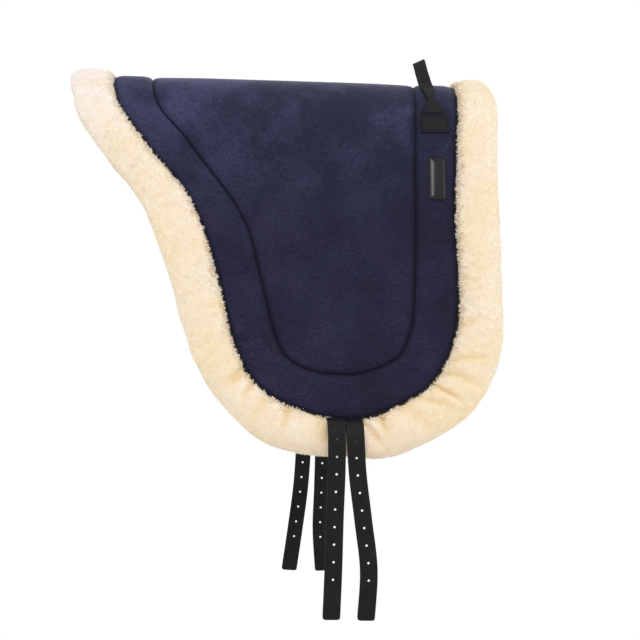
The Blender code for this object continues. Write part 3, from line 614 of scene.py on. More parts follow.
def puff(piece, held, sunk, slack, most, least=-0.0003, slide=0.003):
    """Swells cloth by simulation: it starts sunk and slack, stays put where held is 1, and moves within bounds."""
    mesh = piece.data
    places, normals = np.zeros(len(mesh.vertices) * 3), np.zeros(len(mesh.vertices) * 3)
    mesh.vertices.foreach_get("co", places)
    mesh.vertices.foreach_get("normal", normals)
    places, normals = places.reshape(-1, 3), normals.reshape(-1, 3)
    mesh.vertices.foreach_set("co", (places - normals * (sunk * (1 - held))[:, None]).ravel())
    sewn = piece.vertex_groups.new(name="sewn")
    for index, weight in enumerate(held.tolist()):
        sewn.add([index], weight, "REPLACE")
    cloth = piece.modifiers.new("puff", "CLOTH")
    cloth.settings.quality = 4
    cloth.settings.use_pressure = True
    cloth.settings.uniform_pressure_force = PUFF_PRESSURE
    cloth.settings.effector_weights.gravity = 0
    cloth.settings.vertex_group_mass = sewn.name
    cloth.settings.shrink_min = -slack
    cloth.point_cache.frame_start, cloth.point_cache.frame_end = 1, PUFF_FRAMES
    for number in range(1, PUFF_FRAMES + 1):
        bpy.context.scene.frame_set(number)
    swollen = np.zeros(len(mesh.vertices) * 3)
    shape = piece.evaluated_get(bpy.context.evaluated_depsgraph_get()).to_mesh()
    shape.vertices.foreach_get("co", swollen)
    piece.modifiers.clear()
    piece.vertex_groups.clear()
    move = swollen.reshape(-1, 3) - places
    rise = (move * normals).sum(axis=1)
    aside = move - rise[:, None] * normals
    aside *= np.minimum(1, slide / np.maximum(np.linalg.norm(aside, axis=1), 1e-9))[:, None]
    rise = np.maximum(most * np.tanh(rise / most), least)
    mesh.vertices.foreach_set("co", (places + rise[:, None] * normals + aside).ravel())
    mesh.update()
    bpy.context.scene.frame_set(1)


def values_of(piece, name):
    values = np.zeros(len(piece.data.vertices), np.float32)
    piece.data.attributes[name].data.foreach_get("value", values)
    return values.astype(float)


def refine(piece):
    finer = piece.modifiers.new("finer", "SUBSURF")
    finer.levels = 1
    finer.render_levels = 1


def give_thickness(piece, thickness):
    wall = piece.modifiers.new("cloth_thickness", "SOLIDIFY")
    wall.thickness = thickness
    wall.offset = -1


suede = suede_finish()
seat_lines = [shifted(SEAM_LINE, EDGE_LINE, -gap)[::3] for gap in (SEAM_GAP, *SEAT_RING_GAPS)]
seat = panel("seat_suede", seat_lines, SEAT_GRID, seat_height, suede)
away = values_of(seat, "away")
# Painted shade in the seam groove, fading out within about 4 mm of the seam.
mark(seat, "painted_shade_and_tone", np.exp(-((away / 0.004) ** 2)))
seat_held = np.clip(1 - 0.5 * away / 0.012, 0.5, 1)
puff(seat, seat_held, sunk=0.0006, slack=0.0012, most=0.0008, least=0)
refine(seat)
give_thickness(seat, COVER_THICKNESS)
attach(seat, "pad")
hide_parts("seat_cover")

# Border cover
# A padded band of the same suede round the seat, cut in one ring. It puffs up between the seat seam and the
# fleece, gathers into small creases where the ring turns, and lies pressed flat under the handle and the badge.
BORDER_CROWN = 0.0070
EDGE_CROWN = 0.0010
BORDER_SHOULDER_WIDTH = 0.015
BORDER_COLUMNS = 15
BORDER_STATIONS = slice(None, None, 2)
PATCH_PLACE = 0.2235
PATCH_WIDTH = 0.0428
PATCH_TOP_PLACE = 0.108
PATCH_END_PLACE = 0.139
BADGE_PLACE = 0.2224
BADGE_DROP = 0.2065
BADGE_WIDTH = 0.0245
BADGE_LENGTH = 0.065
HANDLE_END_PLACE = 0.092
HANDLE_END_LENGTH = 0.096
PRESSED_MARGIN = 0.006


def loft(name, rows, material, along=False, around=False):
    """Skin through rows of points. Its UV map runs in metres: across the rows, then along them."""
    count, width = rows.shape[:2]
    i, j = np.meshgrid(np.arange(count if along else count - 1), np.arange(width if around else width - 1),
                       indexing="ij")
    i, j = i.ravel(), j.ravel()
    faces = np.stack([
        i * width + j,
        i * width + (j + 1) % width,
        (i + 1) % count * width + (j + 1) % width,
        (i + 1) % count * width + j,
    ], axis=1)
    mesh = bpy.data.meshes.new(name)
    mesh.from_pydata(rows.reshape(-1, 3).tolist(), [], faces.tolist())
    gap_along = np.linalg.norm(np.roll(rows, -1, axis=0) - rows, axis=2).mean(axis=1)
    gap_across = np.linalg.norm(np.roll(rows, -1, axis=1) - rows, axis=2).mean(axis=0)
    v = np.concatenate(([0], np.cumsum(gap_along)))
    u = np.concatenate(([0], np.cumsum(gap_across)))
    corners = np.stack([
        np.stack((u[j], v[i]), axis=1),
        np.stack((u[j + 1], v[i]), axis=1),
        np.stack((u[j + 1], v[i + 1]), axis=1),
        np.stack((u[j], v[i + 1]), axis=1),
    ], axis=1)
    mesh.uv_layers.new(name="pattern").data.foreach_set("uv", corners.astype(np.float32).ravel())
    return new_piece(name, mesh, material)


def travel_along(line):
    steps = np.linalg.norm(np.roll(line, -1, axis=0) - line, axis=1)
    return np.concatenate(([0], np.cumsum(steps)))[:-1]


def corner_share(line, reach=37):
    """1 where the line turns a tight corner, 0 where it runs straight."""
    ahead = np.roll(line, -reach, axis=0) - line
    behind = line - np.roll(line, reach, axis=0)
    turn = np.arctan2(ahead[:, 0] * behind[:, 1] - ahead[:, 1] * behind[:, 0], (ahead * behind).sum(axis=1))
    rate = np.abs(turn) / np.linalg.norm(ahead, axis=1)
    kernel = np.hanning(reach)
    smoothed = np.convolve(np.concatenate((rate[-reach:], rate, rate[:reach])), kernel / kernel.sum(), "same")
    return np.clip((smoothed[reach:-reach] - 1.5) / 5.5, 0, 1)


EDGE_TRAVEL = travel_along(EDGE_LINE)
EDGE_LENGTH = EDGE_TRAVEL[-1] + np.linalg.norm(EDGE_LINE[0] - EDGE_LINE[-1])
CORNERS = corner_share(EDGE_LINE)


def creases(rng, gathers, spacing, depth, width):
    """Random creases along the edge; each pair of values is for where gathers is 0 and where it is 1."""
    found = []
    place = 0.0
    while place < EDGE_LENGTH:
        gather = float(np.interp(place, EDGE_TRAVEL, gathers))
        found.append((
            place,
            (depth[0] + (depth[1] - depth[0]) * gather) * rng.uniform(0.55, 1.2),
            (width[0] + (width[1] - width[0]) * gather) * rng.uniform(0.7, 1.4),
            rng.uniform(-0.5, 0.5),
            rng.uniform(0, 1),
        ))
        place += (spacing[0] + (spacing[1] - spacing[0]) * gather) * rng.uniform(0.6, 1.5)
    return found


def crease_depth(found, travel, aside, fade):
    """How deep all creases press at each place: aside is the distance across them, fade(reach) their length."""
    total = np.zeros(np.broadcast_shapes(travel.shape, aside.shape))
    for place, depth, width, slant, reach in found:
        apart = (travel - place - slant * aside + EDGE_LENGTH / 2) % EDGE_LENGTH - EDGE_LENGTH / 2
        total += depth * np.exp(-((apart / width) ** 2)) * fade(reach)
    return total


def border_rows():
    inner = shifted(SEAM_LINE, EDGE_LINE, SEAM_GAP)[BORDER_STATIONS]
    outer = shifted(EDGE_LINE, SEAM_LINE, SEAM_GAP)[BORDER_STATIONS]
    share = (1 - np.cos(np.linspace(0, math.pi, BORDER_COLUMNS))) / 2
    flat = inner[:, None] + (outer - inner)[:, None] * share[None, :, None]
    width = np.linalg.norm(outer - inner, axis=1)[:, None]
    away = np.minimum(share, 1 - share) * width
    lift = rounded(share * width, BORDER_SHOULDER_WIDTH) * rounded((1 - share) * width, BORDER_SHOULDER_WIDTH)
    slope = np.exp(-(((EDGE_LINE[:, 0] + 0.06) / 0.05) ** 2)) * (np.abs(EDGE_LINE[:, 1]) > 0.2)
    small = creases(np.random.default_rng(11), np.maximum(0.4 * CORNERS, slope),
                    spacing=(0.05, 0.022), depth=(0.0002, 0.0012), width=(0.004, 0.0030))
    press = crease_depth(small, EDGE_TRAVEL[BORDER_STATIONS, None], share * width,
                         lambda reach: np.exp(-(((1 - share)[None, :] - 0.35 * reach) / 0.28) ** 2))
    height = SEAM_HEIGHT + EDGE_CROWN * share + (BORDER_CROWN - EDGE_CROWN * share) * lift
    return flat, height, press * lift, away, np.clip(slope + 0.3 * CORNERS, 0, 1)[BORDER_STATIONS, None] * lift


def under_fittings(flat):
    """1 where the handle's ends and the badge press the border flat, fading to 0 within 6 mm of them."""
    x, down = flat[..., 0], flat[..., 1]

    def outside(place, width, from_middle, length):
        return np.maximum(np.abs(x - place) - width / 2, np.abs(from_middle) - length / 2)

    handle_away = outside(PATCH_PLACE, PATCH_WIDTH, np.abs(down) - HANDLE_END_PLACE, HANDLE_END_LENGTH)
    badge_away = outside(BADGE_PLACE, BADGE_WIDTH, down - BADGE_DROP, BADGE_LENGTH)
    return 1 - np.clip(np.minimum(handle_away, badge_away) / PRESSED_MARGIN, 0, 1)


border_flat, height, press, away, wrinkled = border_rows()
flattened = under_fittings(border_flat)
border = loft("border_suede", lay(border_flat, height - press * (1 - flattened)), suede, along=True)
border.data.uv_layers.remove(border.data.uv_layers["pattern"])
lay_pattern(border.data, border_flat.reshape(-1, 2))
border.data.flip_normals()
# A slightly darker tone over the border, more towards the rear, plus painted shade in its crease valleys, joined
# with the painted shade of the seam groove.
tone_and_crease_shade = 0.12 + 0.15 * np.clip(-border_flat[..., 0] / 0.1 - 1.5, 0, 1) + 0.5 * np.clip(press / 0.0025, 0, 1)
mark(border, "painted_shade_and_tone", np.maximum(np.exp(-((away / 0.0035) ** 2)), tone_and_crease_shade).ravel())
mark(border, "wrinkled", (wrinkled * (1 - flattened)).ravel())
border_held = np.maximum(np.clip(1 - 0.5 * away / 0.010, 0.5, 1), flattened).ravel()
puff(border, border_held, sunk=0.0006, slack=0.006, most=0.0019)
refine(border)
give_thickness(border, COVER_THICKNESS)
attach(border, "pad")
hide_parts("border_cover")

# Seat seam
# Seat and border are sewn right sides together, so their turnings lie under the seam and close the groove. The
# thread shows as short sunk stitches.
TURNING_WIDTH = 0.012
TURNING_LEVEL = 0.0148
STITCH_PITCH = 0.0042


def strip_along(name, line, towards, width, levels, material):
    """A narrow closed strip that follows a pattern line, centred on it."""
    sides = [shifted(line, towards, width * share) for share in (-0.5, -0.2, 0.2, 0.5, 0.2, -0.2)]
    low, high = levels
    under = low - COVER_THICKNESS
    rows = [lay(side, level) for side, level in zip(sides, (low, high, high, low, under, under))]
    strip = loft(name, np.stack(rows, axis=1), material, along=True, around=True)
    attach(strip, "pad")
    return strip


def stitch_tree():
    """One arched stitch at each point, laid by the attributes off (out of the cloth) and run (along it)."""
    tree, given = new_tree("thread_stitches", (
        ("Stitch Length", "NodeSocketFloat", 0.003),
        ("Stitch Rise", "NodeSocketFloat", 0.0006),
        ("Thread Radius", "NodeSocketFloat", 0.0003),
        ("Unevenness", "NodeSocketFloat", 0.15),
        ("Seed", "NodeSocketInt", 1),
        ("Thread Material", "NodeSocketMaterial", None),
    ))
    half = maths(tree, "MULTIPLY", given["Stitch Length"], 0.5)
    back = maths(tree, "MULTIPLY", half, -1.0)
    drop = maths(tree, "MULTIPLY", given["Stitch Rise"], -0.6)
    lift = maths(tree, "MULTIPLY", given["Stitch Rise"], 2.4)
    start = node(tree, "ShaderNodeCombineXYZ", {"X": back, "Z": drop})
    top = node(tree, "ShaderNodeCombineXYZ", {"Z": lift})
    end = node(tree, "ShaderNodeCombineXYZ", {"X": half, "Z": drop})
    arc = node(tree, "GeometryNodeCurveQuadraticBezier", {
        "Resolution": 5, "Start": start.outputs[0], "Middle": top.outputs[0], "End": end.outputs[0],
    })
    around = node(tree, "GeometryNodeCurvePrimitiveCircle", {"Resolution": 5, "Radius": given["Thread Radius"]})
    thread = node(tree, "GeometryNodeCurveToMesh", {
        "Curve": arc.outputs[0], "Profile Curve": around.outputs[0], "Fill Caps": True,
    })
    off = node(tree, "GeometryNodeInputNamedAttribute", {"Name": "off"}, data_type="FLOAT_VECTOR")
    run = node(tree, "GeometryNodeInputNamedAttribute", {"Name": "run"}, data_type="FLOAT_VECTOR")
    upright = node(tree, "FunctionNodeAlignEulerToVector", {"Vector": off.outputs[0]}, axis="Z")
    turned = node(tree, "FunctionNodeAlignEulerToVector", {
        "Rotation": upright.outputs[0], "Vector": run.outputs[0],
    }, axis="X", pivot_axis="Z")
    least = maths(tree, "SUBTRACT", 1.0, given["Unevenness"])
    most = maths(tree, "ADD", 1.0, given["Unevenness"])
    size = node(tree, "FunctionNodeRandomValue", {2: least, 3: most, "Seed": given["Seed"]}, data_type="FLOAT")
    sewn = node(tree, "GeometryNodeInstanceOnPoints", {
        "Points": given["Geometry"], "Instance": thread.outputs[0],
        "Rotation": turned.outputs[0], "Scale": size.outputs[1],
    })
    finish_tree(tree, sewn.outputs[0], given["Thread Material"])
    return tree


def sew(name, spots, off, run, body, **values):
    """A stitch at each spot; off is the way out of the cloth there and run the way that the stitch runs."""
    mesh = bpy.data.meshes.new("stitch_places")
    mesh.from_pydata([tuple(p) for p in spots], [], [])
    for label, ways in (("off", off), ("run", run)):
        kept = mesh.attributes.new(label, "FLOAT_VECTOR", "POINT").data
        kept.foreach_set("vector", np.asarray(ways, np.float32).ravel())
    carrier = placed("stitch_places", mesh)
    piece = grown(name, carrier, stitches, body, **values)
    bpy.data.objects.remove(carrier, do_unlink=True)


def unit(vectors):
    return vectors / np.linalg.norm(vectors, axis=-1, keepdims=True)


def along_line(line, towards, pitch, height):
    """Evenly spaced places on a pattern line in space, with the ways out, along and across."""
    travel = travel_along(line)
    length = travel[-1] + np.linalg.norm(line[0] - line[-1])
    wanted = np.arange(0, length, pitch)
    index = np.searchsorted(travel, wanted) % len(line)
    base = lay(line, height)
    lifted = lay(line, height + 0.001)
    aside = lay(towards, height)
    off = unit(lifted - base)[index]
    run = unit(np.roll(base, -3, axis=0) - np.roll(base, 3, axis=0))[index]
    out = unit(np.cross(off, run))
    out = out * np.sign((out * (aside - base)[index]).sum(axis=1))[:, None]
    return base[index], off, run, out


def thread_finish():
    finish, tree, shader = new_finish("black_thread", 0.7, 0.15)
    coords = coords_of(tree)
    tone = between(tree, blotches(tree, coords, 900, 2), (0.004, 0.004, 0.007, 1), (0.014, 0.014, 0.020, 1))
    tree.links.new(tone, shader.inputs["Base Color"])
    raise_bump(tree, shader, blotches(tree, coords, 2500, 2), 0.3, 0.0002)
    return finish


thread = thread_finish()
stitches = stitch_tree()
turnings = strip_along("seam_turnings", SEAM_LINE, EDGE_LINE, TURNING_WIDTH, (0.0135, TURNING_LEVEL), suede)
# The turnings at the bottom of the groove take the full painted shade.
mark(turnings, "painted_shade_and_tone", np.ones(len(turnings.data.vertices)))
spots, off, run, out = along_line(SEAM_LINE, EDGE_LINE, STITCH_PITCH, TURNING_LEVEL + 0.0006)
sew("seat_seam_stitches", spots, off, run, "pad", Stitch_Length=0.0034, Stitch_Rise=0.0004,
    Thread_Radius=0.00035, Seed=2, Thread_Material=thread)

# Fleece edge roll
# Thick fleece wrapped over the pad's edge and padded out with filling. It is longer outside than at its seam, so
# it gathers there into short slanted folds round the lower corners.
ROLL_THICKNESS = 0.041
ROLL_SINK = 0.005
ROLL_FULLNESS_SHARE = 0.82
ROLL_CORNERS = 28
ROLL_STATIONS = 880
ROLL_SQUARENESS = 0.9
ROLL_FULLER = (0.0105, -0.0040)
PILE_HEIGHT = 0.0022


def full_line():
    """The roll's outside, a little fuller down the right flank's rear slope than down the left's."""
    x, down = ROLL_LINE.T
    slope = np.interp(np.abs(down), (0.09, 0.16, 0.48, 0.57), (0, 1, 1, 0)) * (x < 0)
    fuller = slope * np.where(down > 0, *ROLL_FULLER)
    return ROLL_LINE + unit(ROLL_LINE - EDGE_LINE) * fuller[:, None]


def roll_rows():
    index = np.linspace(0, STATIONS, ROLL_STATIONS, endpoint=False)

    def spread(values, last):
        """Values of the pattern's stations, read at the roll's own."""
        return np.interp(index, np.arange(STATIONS + 1), np.append(values, last))

    lines = (shifted(EDGE_LINE, ROLL_LINE, SEAM_GAP), full_line())
    inner, outer = (np.stack([spread(line[:, k], line[0, k]) for k in (0, 1)], axis=1) for line in lines)
    travel = spread(EDGE_TRAVEL, EDGE_LENGTH)[:, None]
    turn = np.linspace(-math.pi, math.pi, ROLL_CORNERS, endpoint=False)[None, :]
    sideways, upward = (np.sign(wave) * np.abs(wave) ** ROLL_SQUARENESS
                        for wave in (np.sin(turn), np.cos(turn)))
    width = np.linalg.norm(outer - inner, axis=1)[:, None]

    def fade(reach):
        far = math.radians(-12 + 42 * reach)
        return 1 / (1 + np.exp((turn - far) / 0.16)) / (1 + np.exp((-1.22 - turn) / 0.13))

    gathers = CORNERS * (0.75 + 0.25 * np.clip(EDGE_LINE[:, 0] / 0.06, 0, 1))
    folds = creases(np.random.default_rng(7), gathers, spacing=(0.07, 0.0160), depth=(0.0006, 0.0072),
                    width=(0.008, 0.0042))
    press = crease_depth(folds, travel, (turn + 1.2) * 0.02, fade)
    middle = ROLL_THICKNESS / 2 - ROLL_SINK
    share = 0.5 + 0.5 * sideways + 0 * width
    still = lay(inner[:, None] + (outer - inner)[:, None] * share[..., None],
                middle + ROLL_THICKNESS / 2 * upward)
    lumps = random_bumps(still.reshape(-1, 3), 30, 3).reshape(press.shape) * 0.0014
    inset = press + lumps + PILE_HEIGHT
    share = (0.5 + (0.5 - inset / width) * sideways)[..., None]
    flat = inner[:, None] + (outer - inner)[:, None] * share
    height = middle + (ROLL_THICKNESS / 2 - inset) * upward

    def stretch(start, rise, end, fall):
        """1 on a stretch of the way round the roll's section, with soft ends."""
        return np.clip((turn - start) / rise, 0, 1) * np.clip((end - turn) / fall, 0, 1) + 0 * width

    shown = stretch(-1.75, 0.3, 2.6, 0.3)
    free = stretch(-1.35, 0.5, 2.0, 0.5)
    clumps = 0.35 + 2.2 * random_bumps(still.reshape(-1, 3), 130, 6).reshape(press.shape)
    fringe = stretch(-1.6, 0.1, -0.85, 0.15) * np.clip(clumps, 0.05, 1)
    fringe *= 1 - 0.6 * np.interp(index, np.arange(STATIONS), gathers)[:, None]
    return lay(flat, height), press, shown.ravel(), free.ravel(), fringe.ravel()


roll_points, press, shown, free, fringe = roll_rows()
roll = loft("edge_roll", roll_points, fleece, along=True, around=True)
roll.data.flip_normals()
# Painted shade in the roll's folds, as deep as each fold presses.
mark(roll, "painted_fold_shade", np.clip(press / 0.0055, 0, 1).ravel())
mark(roll, "pale", 0.4 * fringe)
puff(roll, 1 - 0.5 * free, sunk=0.0004, slack=0.006, most=0.0016, least=-0.001)
refine(roll)
curls = bpy.data.textures.new("fleece_curls", "CLOUDS")
curls.noise_scale = 0.006
curled = roll.modifiers.new("curls", "DISPLACE")
curled.texture = curls
curled.strength = 0.0018
for flank, side in (("right", 1), ("left", -1)):
    mark(roll, "pile", shown * (np.sign(roll_points[..., 1].ravel()) == -side))
    roll_pile = grown(f"edge_roll_pile_{flank}", roll, fleece_pile, "pad", Density=310000.0, Lock_Length=0.0016,
                      Lock_Radius=0.00048, Toss=0.75, Seed=5 + side, Pile_Material=tufts)
mark(roll, "pile", fringe)
roll_fringe = grown("edge_fringe", roll, fleece_pile, "pad", Density=420000.0, Lock_Length=0.0040,
                    Lock_Radius=0.0010, Tip_Radius=0.0004, Toss=0.5, Seed=14, Pile_Material=tufts)
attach(roll, "pad")
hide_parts("edge_roll_fleece")

# Overlocked edge
# Suede and fleece are joined by an overlock stitch: a black cord of locked thread that scallops along the suede's
# edge, half hidden by tufts, with short loops that bite into the pile.
OVERLOCK_RADIUS = 0.0016
OVERLOCK_RISE = 0.0022
LOOP_PITCH = 0.0052


def overlock_cord():
    middle = SEAM_HEIGHT + EDGE_CROWN + OVERLOCK_RISE
    turn = np.linspace(0, math.tau, 8, endpoint=False)
    wave = 1 + 0.3 * np.sin(EDGE_TRAVEL * math.tau / LOOP_PITCH)[:, None]
    wander = 0.0011 * random_bumps(lay(EDGE_LINE, 0), 75, 8)[:, None]
    across = OVERLOCK_RADIUS * np.cos(turn)[None, :] * wave + wander
    step = unit(ROLL_LINE - EDGE_LINE)
    flat = EDGE_LINE[:, None] + step[:, None] * (across - 0.0002)[..., None]
    return lay(flat, middle - 0.0006 + OVERLOCK_RADIUS * np.sin(turn)[None, :] * wave)


cord = loft("overlock_cord", overlock_cord(), thread, along=True, around=True)
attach(cord, "pad")
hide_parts("edge_overlock")
spots, off, run, out = along_line(EDGE_LINE, ROLL_LINE, LOOP_PITCH, SEAM_HEIGHT + EDGE_CROWN + OVERLOCK_RISE)
sew("overlock_loops", spots + out * 0.0004, off, unit(out + 0.4 * run), "pad", Stitch_Length=0.0026,
    Stitch_Rise=0.0009, Thread_Radius=0.0006, Unevenness=0.35, Seed=4, Thread_Material=thread)

# Girth billets
# Black coated straps, two on each flank, sewn under the suede's edge. They bend over the roll and hang plumb,
# each with nine punched buckle holes and a square tip with rounded corners.
BILLET_WIDTH = 0.0255
BILLET_THICKNESS = 0.003
BILLET_LENGTH = 0.286
BILLET_PITCH = 0.026
BILLET_PAIR_PLACE = 0.0745
BILLET_ROOT_SETBACK = 0.0045
BILLET_CLEARANCE = 0.0012
BILLET_TIP_RADIUS = 0.004
BILLET_EDGE_RADIUS = 0.0009
HOLE_RADIUS = 0.0017
HOLE_FLARE = 0.0002
HOLE_PITCH = 0.025
HOLE_COUNT = 9
HOLE_CORNERS = 24
FIRST_HOLE_PLACE = 0.029
ROOT_TUCK = 0.010
BILLET_STEP = 0.0035

# Each billet: its side, its place in the pair, and how far it sways forward down its length, as shares of width.
BILLET_SWAY_SHARES = {
    "right_front_billet": (1, 1, (0, 0.12, 0.45, 0.76, 0.60)),
    "right_rear_billet": (1, -1, (0, -0.02, -0.13, -0.21, -0.33)),
    "left_front_billet": (-1, 1, (0, 0.28, 0.24, 0.14, 0.30)),
    "left_rear_billet": (-1, -1, (0, 0.05, -0.13, -0.50, -0.92)),
}
ROUTE_STEPS = 96


def drop_at(line, x):
    """How far down a border line's hem lies at a place along the right flank."""
    hem = line[line[:, 1] > CLOTH_DROP * 0.75]
    order = np.argsort(hem[:, 0])
    return float(np.interp(x, hem[order, 0], hem[order, 1]))


def billet_route(x):
    """The strap's middle line across the flank: from under the suede, over the roll, then plumb down."""
    edge, hem = drop_at(EDGE_LINE, x), drop_at(ROLL_LINE, x)
    lift = BILLET_CLEARANCE + BILLET_THICKNESS / 2
    half_width = (hem - edge) / 2 + lift
    half_height = ROLL_THICKNESS / 2 + lift
    root = (hem - edge) / 2 - BILLET_ROOT_SETBACK
    turn = math.pi * (np.arange(ROUTE_STEPS) / ROUTE_STEPS - 0.5)
    sideways = np.sign(np.sin(turn)) * np.abs(np.sin(turn)) ** ROLL_FULLNESS_SHARE
    upward = np.abs(np.cos(turn)) ** ROLL_FULLNESS_SHARE
    down = (edge + hem) / 2 + half_width * sideways
    height = ROLL_THICKNESS / 2 - ROLL_SINK + half_height * upward
    spots = drape(np.zeros(ROUTE_STEPS), down, height)[half_width * sideways >= -root]
    route = [np.array((-spots[0][1], spots[0][2]))]
    for spot in spots[1:]:
        if -spot[1] <= route[-1][0]:
            break
        route.append(np.array((-spot[1], spot[2])))
    route.append(route[-1] - np.array((0, BILLET_LENGTH)))
    return np.array(route), edge


class Billet:
    """One strap: where each distance along it lies. Distances below 0 are tucked under the suede's edge."""

    def __init__(self, side, place, sway_shares):
        self.side = side
        self.x = BILLET_PAIR_PLACE + place * BILLET_PITCH / 2
        route, edge = billet_route(self.x)
        tuck = [drape(0.0, edge - back, SEAM_HEIGHT - sunk) for back, sunk in ((0.006, 0.003), (0.002, 0.0012))]
        tuck = np.array([(-spot[1], spot[2]) for spot in tuck])
        self.route = np.concatenate((tuck, route))
        steps = np.concatenate(([0], np.cumsum(np.linalg.norm(np.diff(self.route, axis=0), axis=1))))
        self.along = steps - steps[len(tuck)]
        sway = BILLET_WIDTH * np.array(sway_shares)
        self.sways = np.array((2 * sway[0] - sway[1], *sway, 2 * sway[-1] - sway[-2]))

    def sway(self, distance):
        """A smooth curve through the sway at even steps."""
        last = len(self.sways) - 3
        share = np.clip(distance / BILLET_LENGTH, 0, 1) * last
        k = min(int(share), last - 1)
        return catmull_rom(*self.sways[k : k + 4], share - k)

    def on_route(self, distance):
        return np.array([np.interp(distance, self.along, self.route[:, k]) for k in (0, 1)])

    def at(self, distance, sideways, height, probe=0.002):
        """A point of the strap, sideways across it and at a height above its middle."""
        out, level = self.on_route(distance)
        ahead = self.on_route(distance + probe)
        behind = self.on_route(distance - probe)
        run = (ahead - behind) / np.linalg.norm(ahead - behind)
        face = np.array((-run[1], run[0]))
        turn = math.atan((self.sway(distance + probe) - self.sway(distance - probe)) / (2 * probe))
        x = self.x + self.sway(distance) + sideways * math.cos(turn)
        out += face[0] * height - run[0] * sideways * math.sin(turn)
        level += face[1] * height - run[1] * sideways * math.sin(turn)
        return Vector((x, -self.side * out, level - CREST_FALL_SHARE * self.x))


def strap_section(half_width, half_height, radius):
    """Corners of a strap's section with its edges rounded over."""
    corners = []
    for across, up, start in ((1, -1, -90), (1, 1, 0), (-1, 1, 90), (-1, -1, 180)):
        for step in range(3):
            turn = math.radians(start + 45 * step)
            corners.append((
                across * (half_width - radius) + radius * math.cos(turn),
                up * (half_height - radius) + radius * math.sin(turn),
            ))
    return corners


def strap_finish():
    """Black coated strap: smooth, with a faint leather grain and scuffs."""
    finish, tree, shader = new_finish("black_strap", 0.6, 0.2)
    coords = coords_of(tree)
    wear = blotches(tree, coords, 40, 4)
    worn = between(tree, wear, (0.0028, 0.0028, 0.0036, 1), (0.0060, 0.0060, 0.0068, 1))
    tree.links.new(worn, shader.inputs["Base Color"])
    cells = node(tree, "ShaderNodeTexVoronoi", {"Vector": coords, "Scale": 1100})
    rough = between(tree, blotches(tree, coords, 90, 3), grey(0.5), grey(0.66))
    tree.links.new(rough, shader.inputs["Roughness"])
    raise_bump(tree, shader, cells.outputs["Distance"], 0.22, 0.0003)
    return finish


def hole_pins(billet):
    """One pin for each buckle hole, flared where it leaves the strap, so the holes get pressed rims."""
    half = BILLET_THICKNESS / 2
    profile = [(share * half, flare * HOLE_FLARE)
               for share, flare in ((-2, 2), (-1, 1), (-0.55, 0), (0.55, 0), (1, 1), (2, 2))]
    turns = np.linspace(0, math.tau, HOLE_CORNERS, endpoint=False)
    bm = bmesh.new()
    for number in range(HOLE_COUNT):
        distance = FIRST_HOLE_PLACE + number * HOLE_PITCH
        centre = billet.at(distance, 0, 0)
        through = (billet.at(distance, 0, BILLET_THICKNESS) - centre).normalized()
        place = Matrix.Translation(centre) @ through.to_track_quat("Z", "X").to_matrix().to_4x4()
        rings = []
        for level, flare in profile:
            circle = [Vector((math.cos(turn), math.sin(turn), 0)) * (HOLE_RADIUS + flare) for turn in turns]
            rings.append([bm.verts.new(place @ (spot + Vector((0, 0, level)))) for spot in circle])
        for low, high in zip(rings, rings[1:]):
            for k in range(HOLE_CORNERS):
                bm.faces.new((low[k - 1], low[k], high[k], high[k - 1]))
        bm.faces.new(rings[0][::-1])
        bm.faces.new(rings[-1])
    mesh = bpy.data.meshes.new("hole_pins")
    bm.to_mesh(mesh)
    bm.free()
    return placed("hole_pins", mesh)


def apply_modifiers(piece):
    mesh = bpy.data.meshes.new_from_object(piece.evaluated_get(bpy.context.evaluated_depsgraph_get()))
    piece.modifiers.clear()
    piece.data = mesh


def close_ends(piece):
    bm = bmesh.new()
    bm.from_mesh(piece.data)
    bmesh.ops.holes_fill(bm, edges=[e for e in bm.edges if e.is_boundary])
    bmesh.ops.recalc_face_normals(bm, faces=bm.faces[:])
    bm.to_mesh(piece.data)
    bm.free()


def make_billet(name, side, place, sway_shares, node_name):
    billet = Billet(side, place, sway_shares)
    turns = np.radians((0, 22, 45, 68, 90))
    corner = BILLET_TIP_RADIUS * (1 - np.cos(turns))
    tip = BILLET_LENGTH - BILLET_TIP_RADIUS * (1 - np.sin(turns))
    body = np.arange(-ROOT_TUCK, BILLET_LENGTH - BILLET_TIP_RADIUS - 0.002, BILLET_STEP)
    rows = []
    for distance, cut in [(d, 0) for d in body] + list(zip(tip, corner)):
        section = strap_section(BILLET_WIDTH / 2 - cut, BILLET_THICKNESS / 2, BILLET_EDGE_RADIUS)
        rows.append([billet.at(distance, across, up) for across, up in section])
    strap = loft(name, np.array(rows), strap_black, around=True)
    close_ends(strap)
    pins = hole_pins(billet)
    punch = strap.modifiers.new("buckle_holes", "BOOLEAN")
    punch.operation = "DIFFERENCE"
    punch.solver = "EXACT"
    punch.object = pins
    apply_modifiers(strap)
    strap.data.set_sharp_from_angle(angle=math.radians(50))
    bpy.data.objects.remove(pins, do_unlink=True)
    billet.at(-0.002, 0, 0)
    billet.at(0.012, 0, 0)
    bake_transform(strap)
    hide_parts(node_name)


strap_black = strap_finish()
for name, (side, place, sway_shares) in BILLET_SWAY_SHARES.items():
    flank, end, _ = name.split("_")
    make_billet(name, side, place, sway_shares, f"billet_{flank}_{end}")

# Grab handle
# One length of black webbing. Each end is sewn flat on the border as a patch, under a thick bar tack, narrows
# above it where the webbing folds, and runs up to the crest, where it stands as a loop that leans back and askew.
HANDLE_PLACE = 0.230463
HANDLE_SKEW = math.radians(8.2)
HANDLE_LEAN = math.radians(24)
HANDLE_AXIS_LEVEL = 0.0286
GRIP_WIDTH = 0.020
GRIP_THICKNESS = 0.0046
PATCH_THICKNESS = 0.0026
NECK_PLACE = 0.088
NECK_WIDTH = 0.0115
FLARE_WIDTH = 0.037
LEAVE_PLACE = 0.056
HANDLE_STEP = 0.0022
BOX_INSET = 0.0030
BOX_TOP_INSET = 0.0085
BOX_PITCH = 0.0026
BAR_INSET = 0.0035
BAR_PITCH = 0.0010
BORDER_TOP = SEAM_HEIGHT + BORDER_CROWN

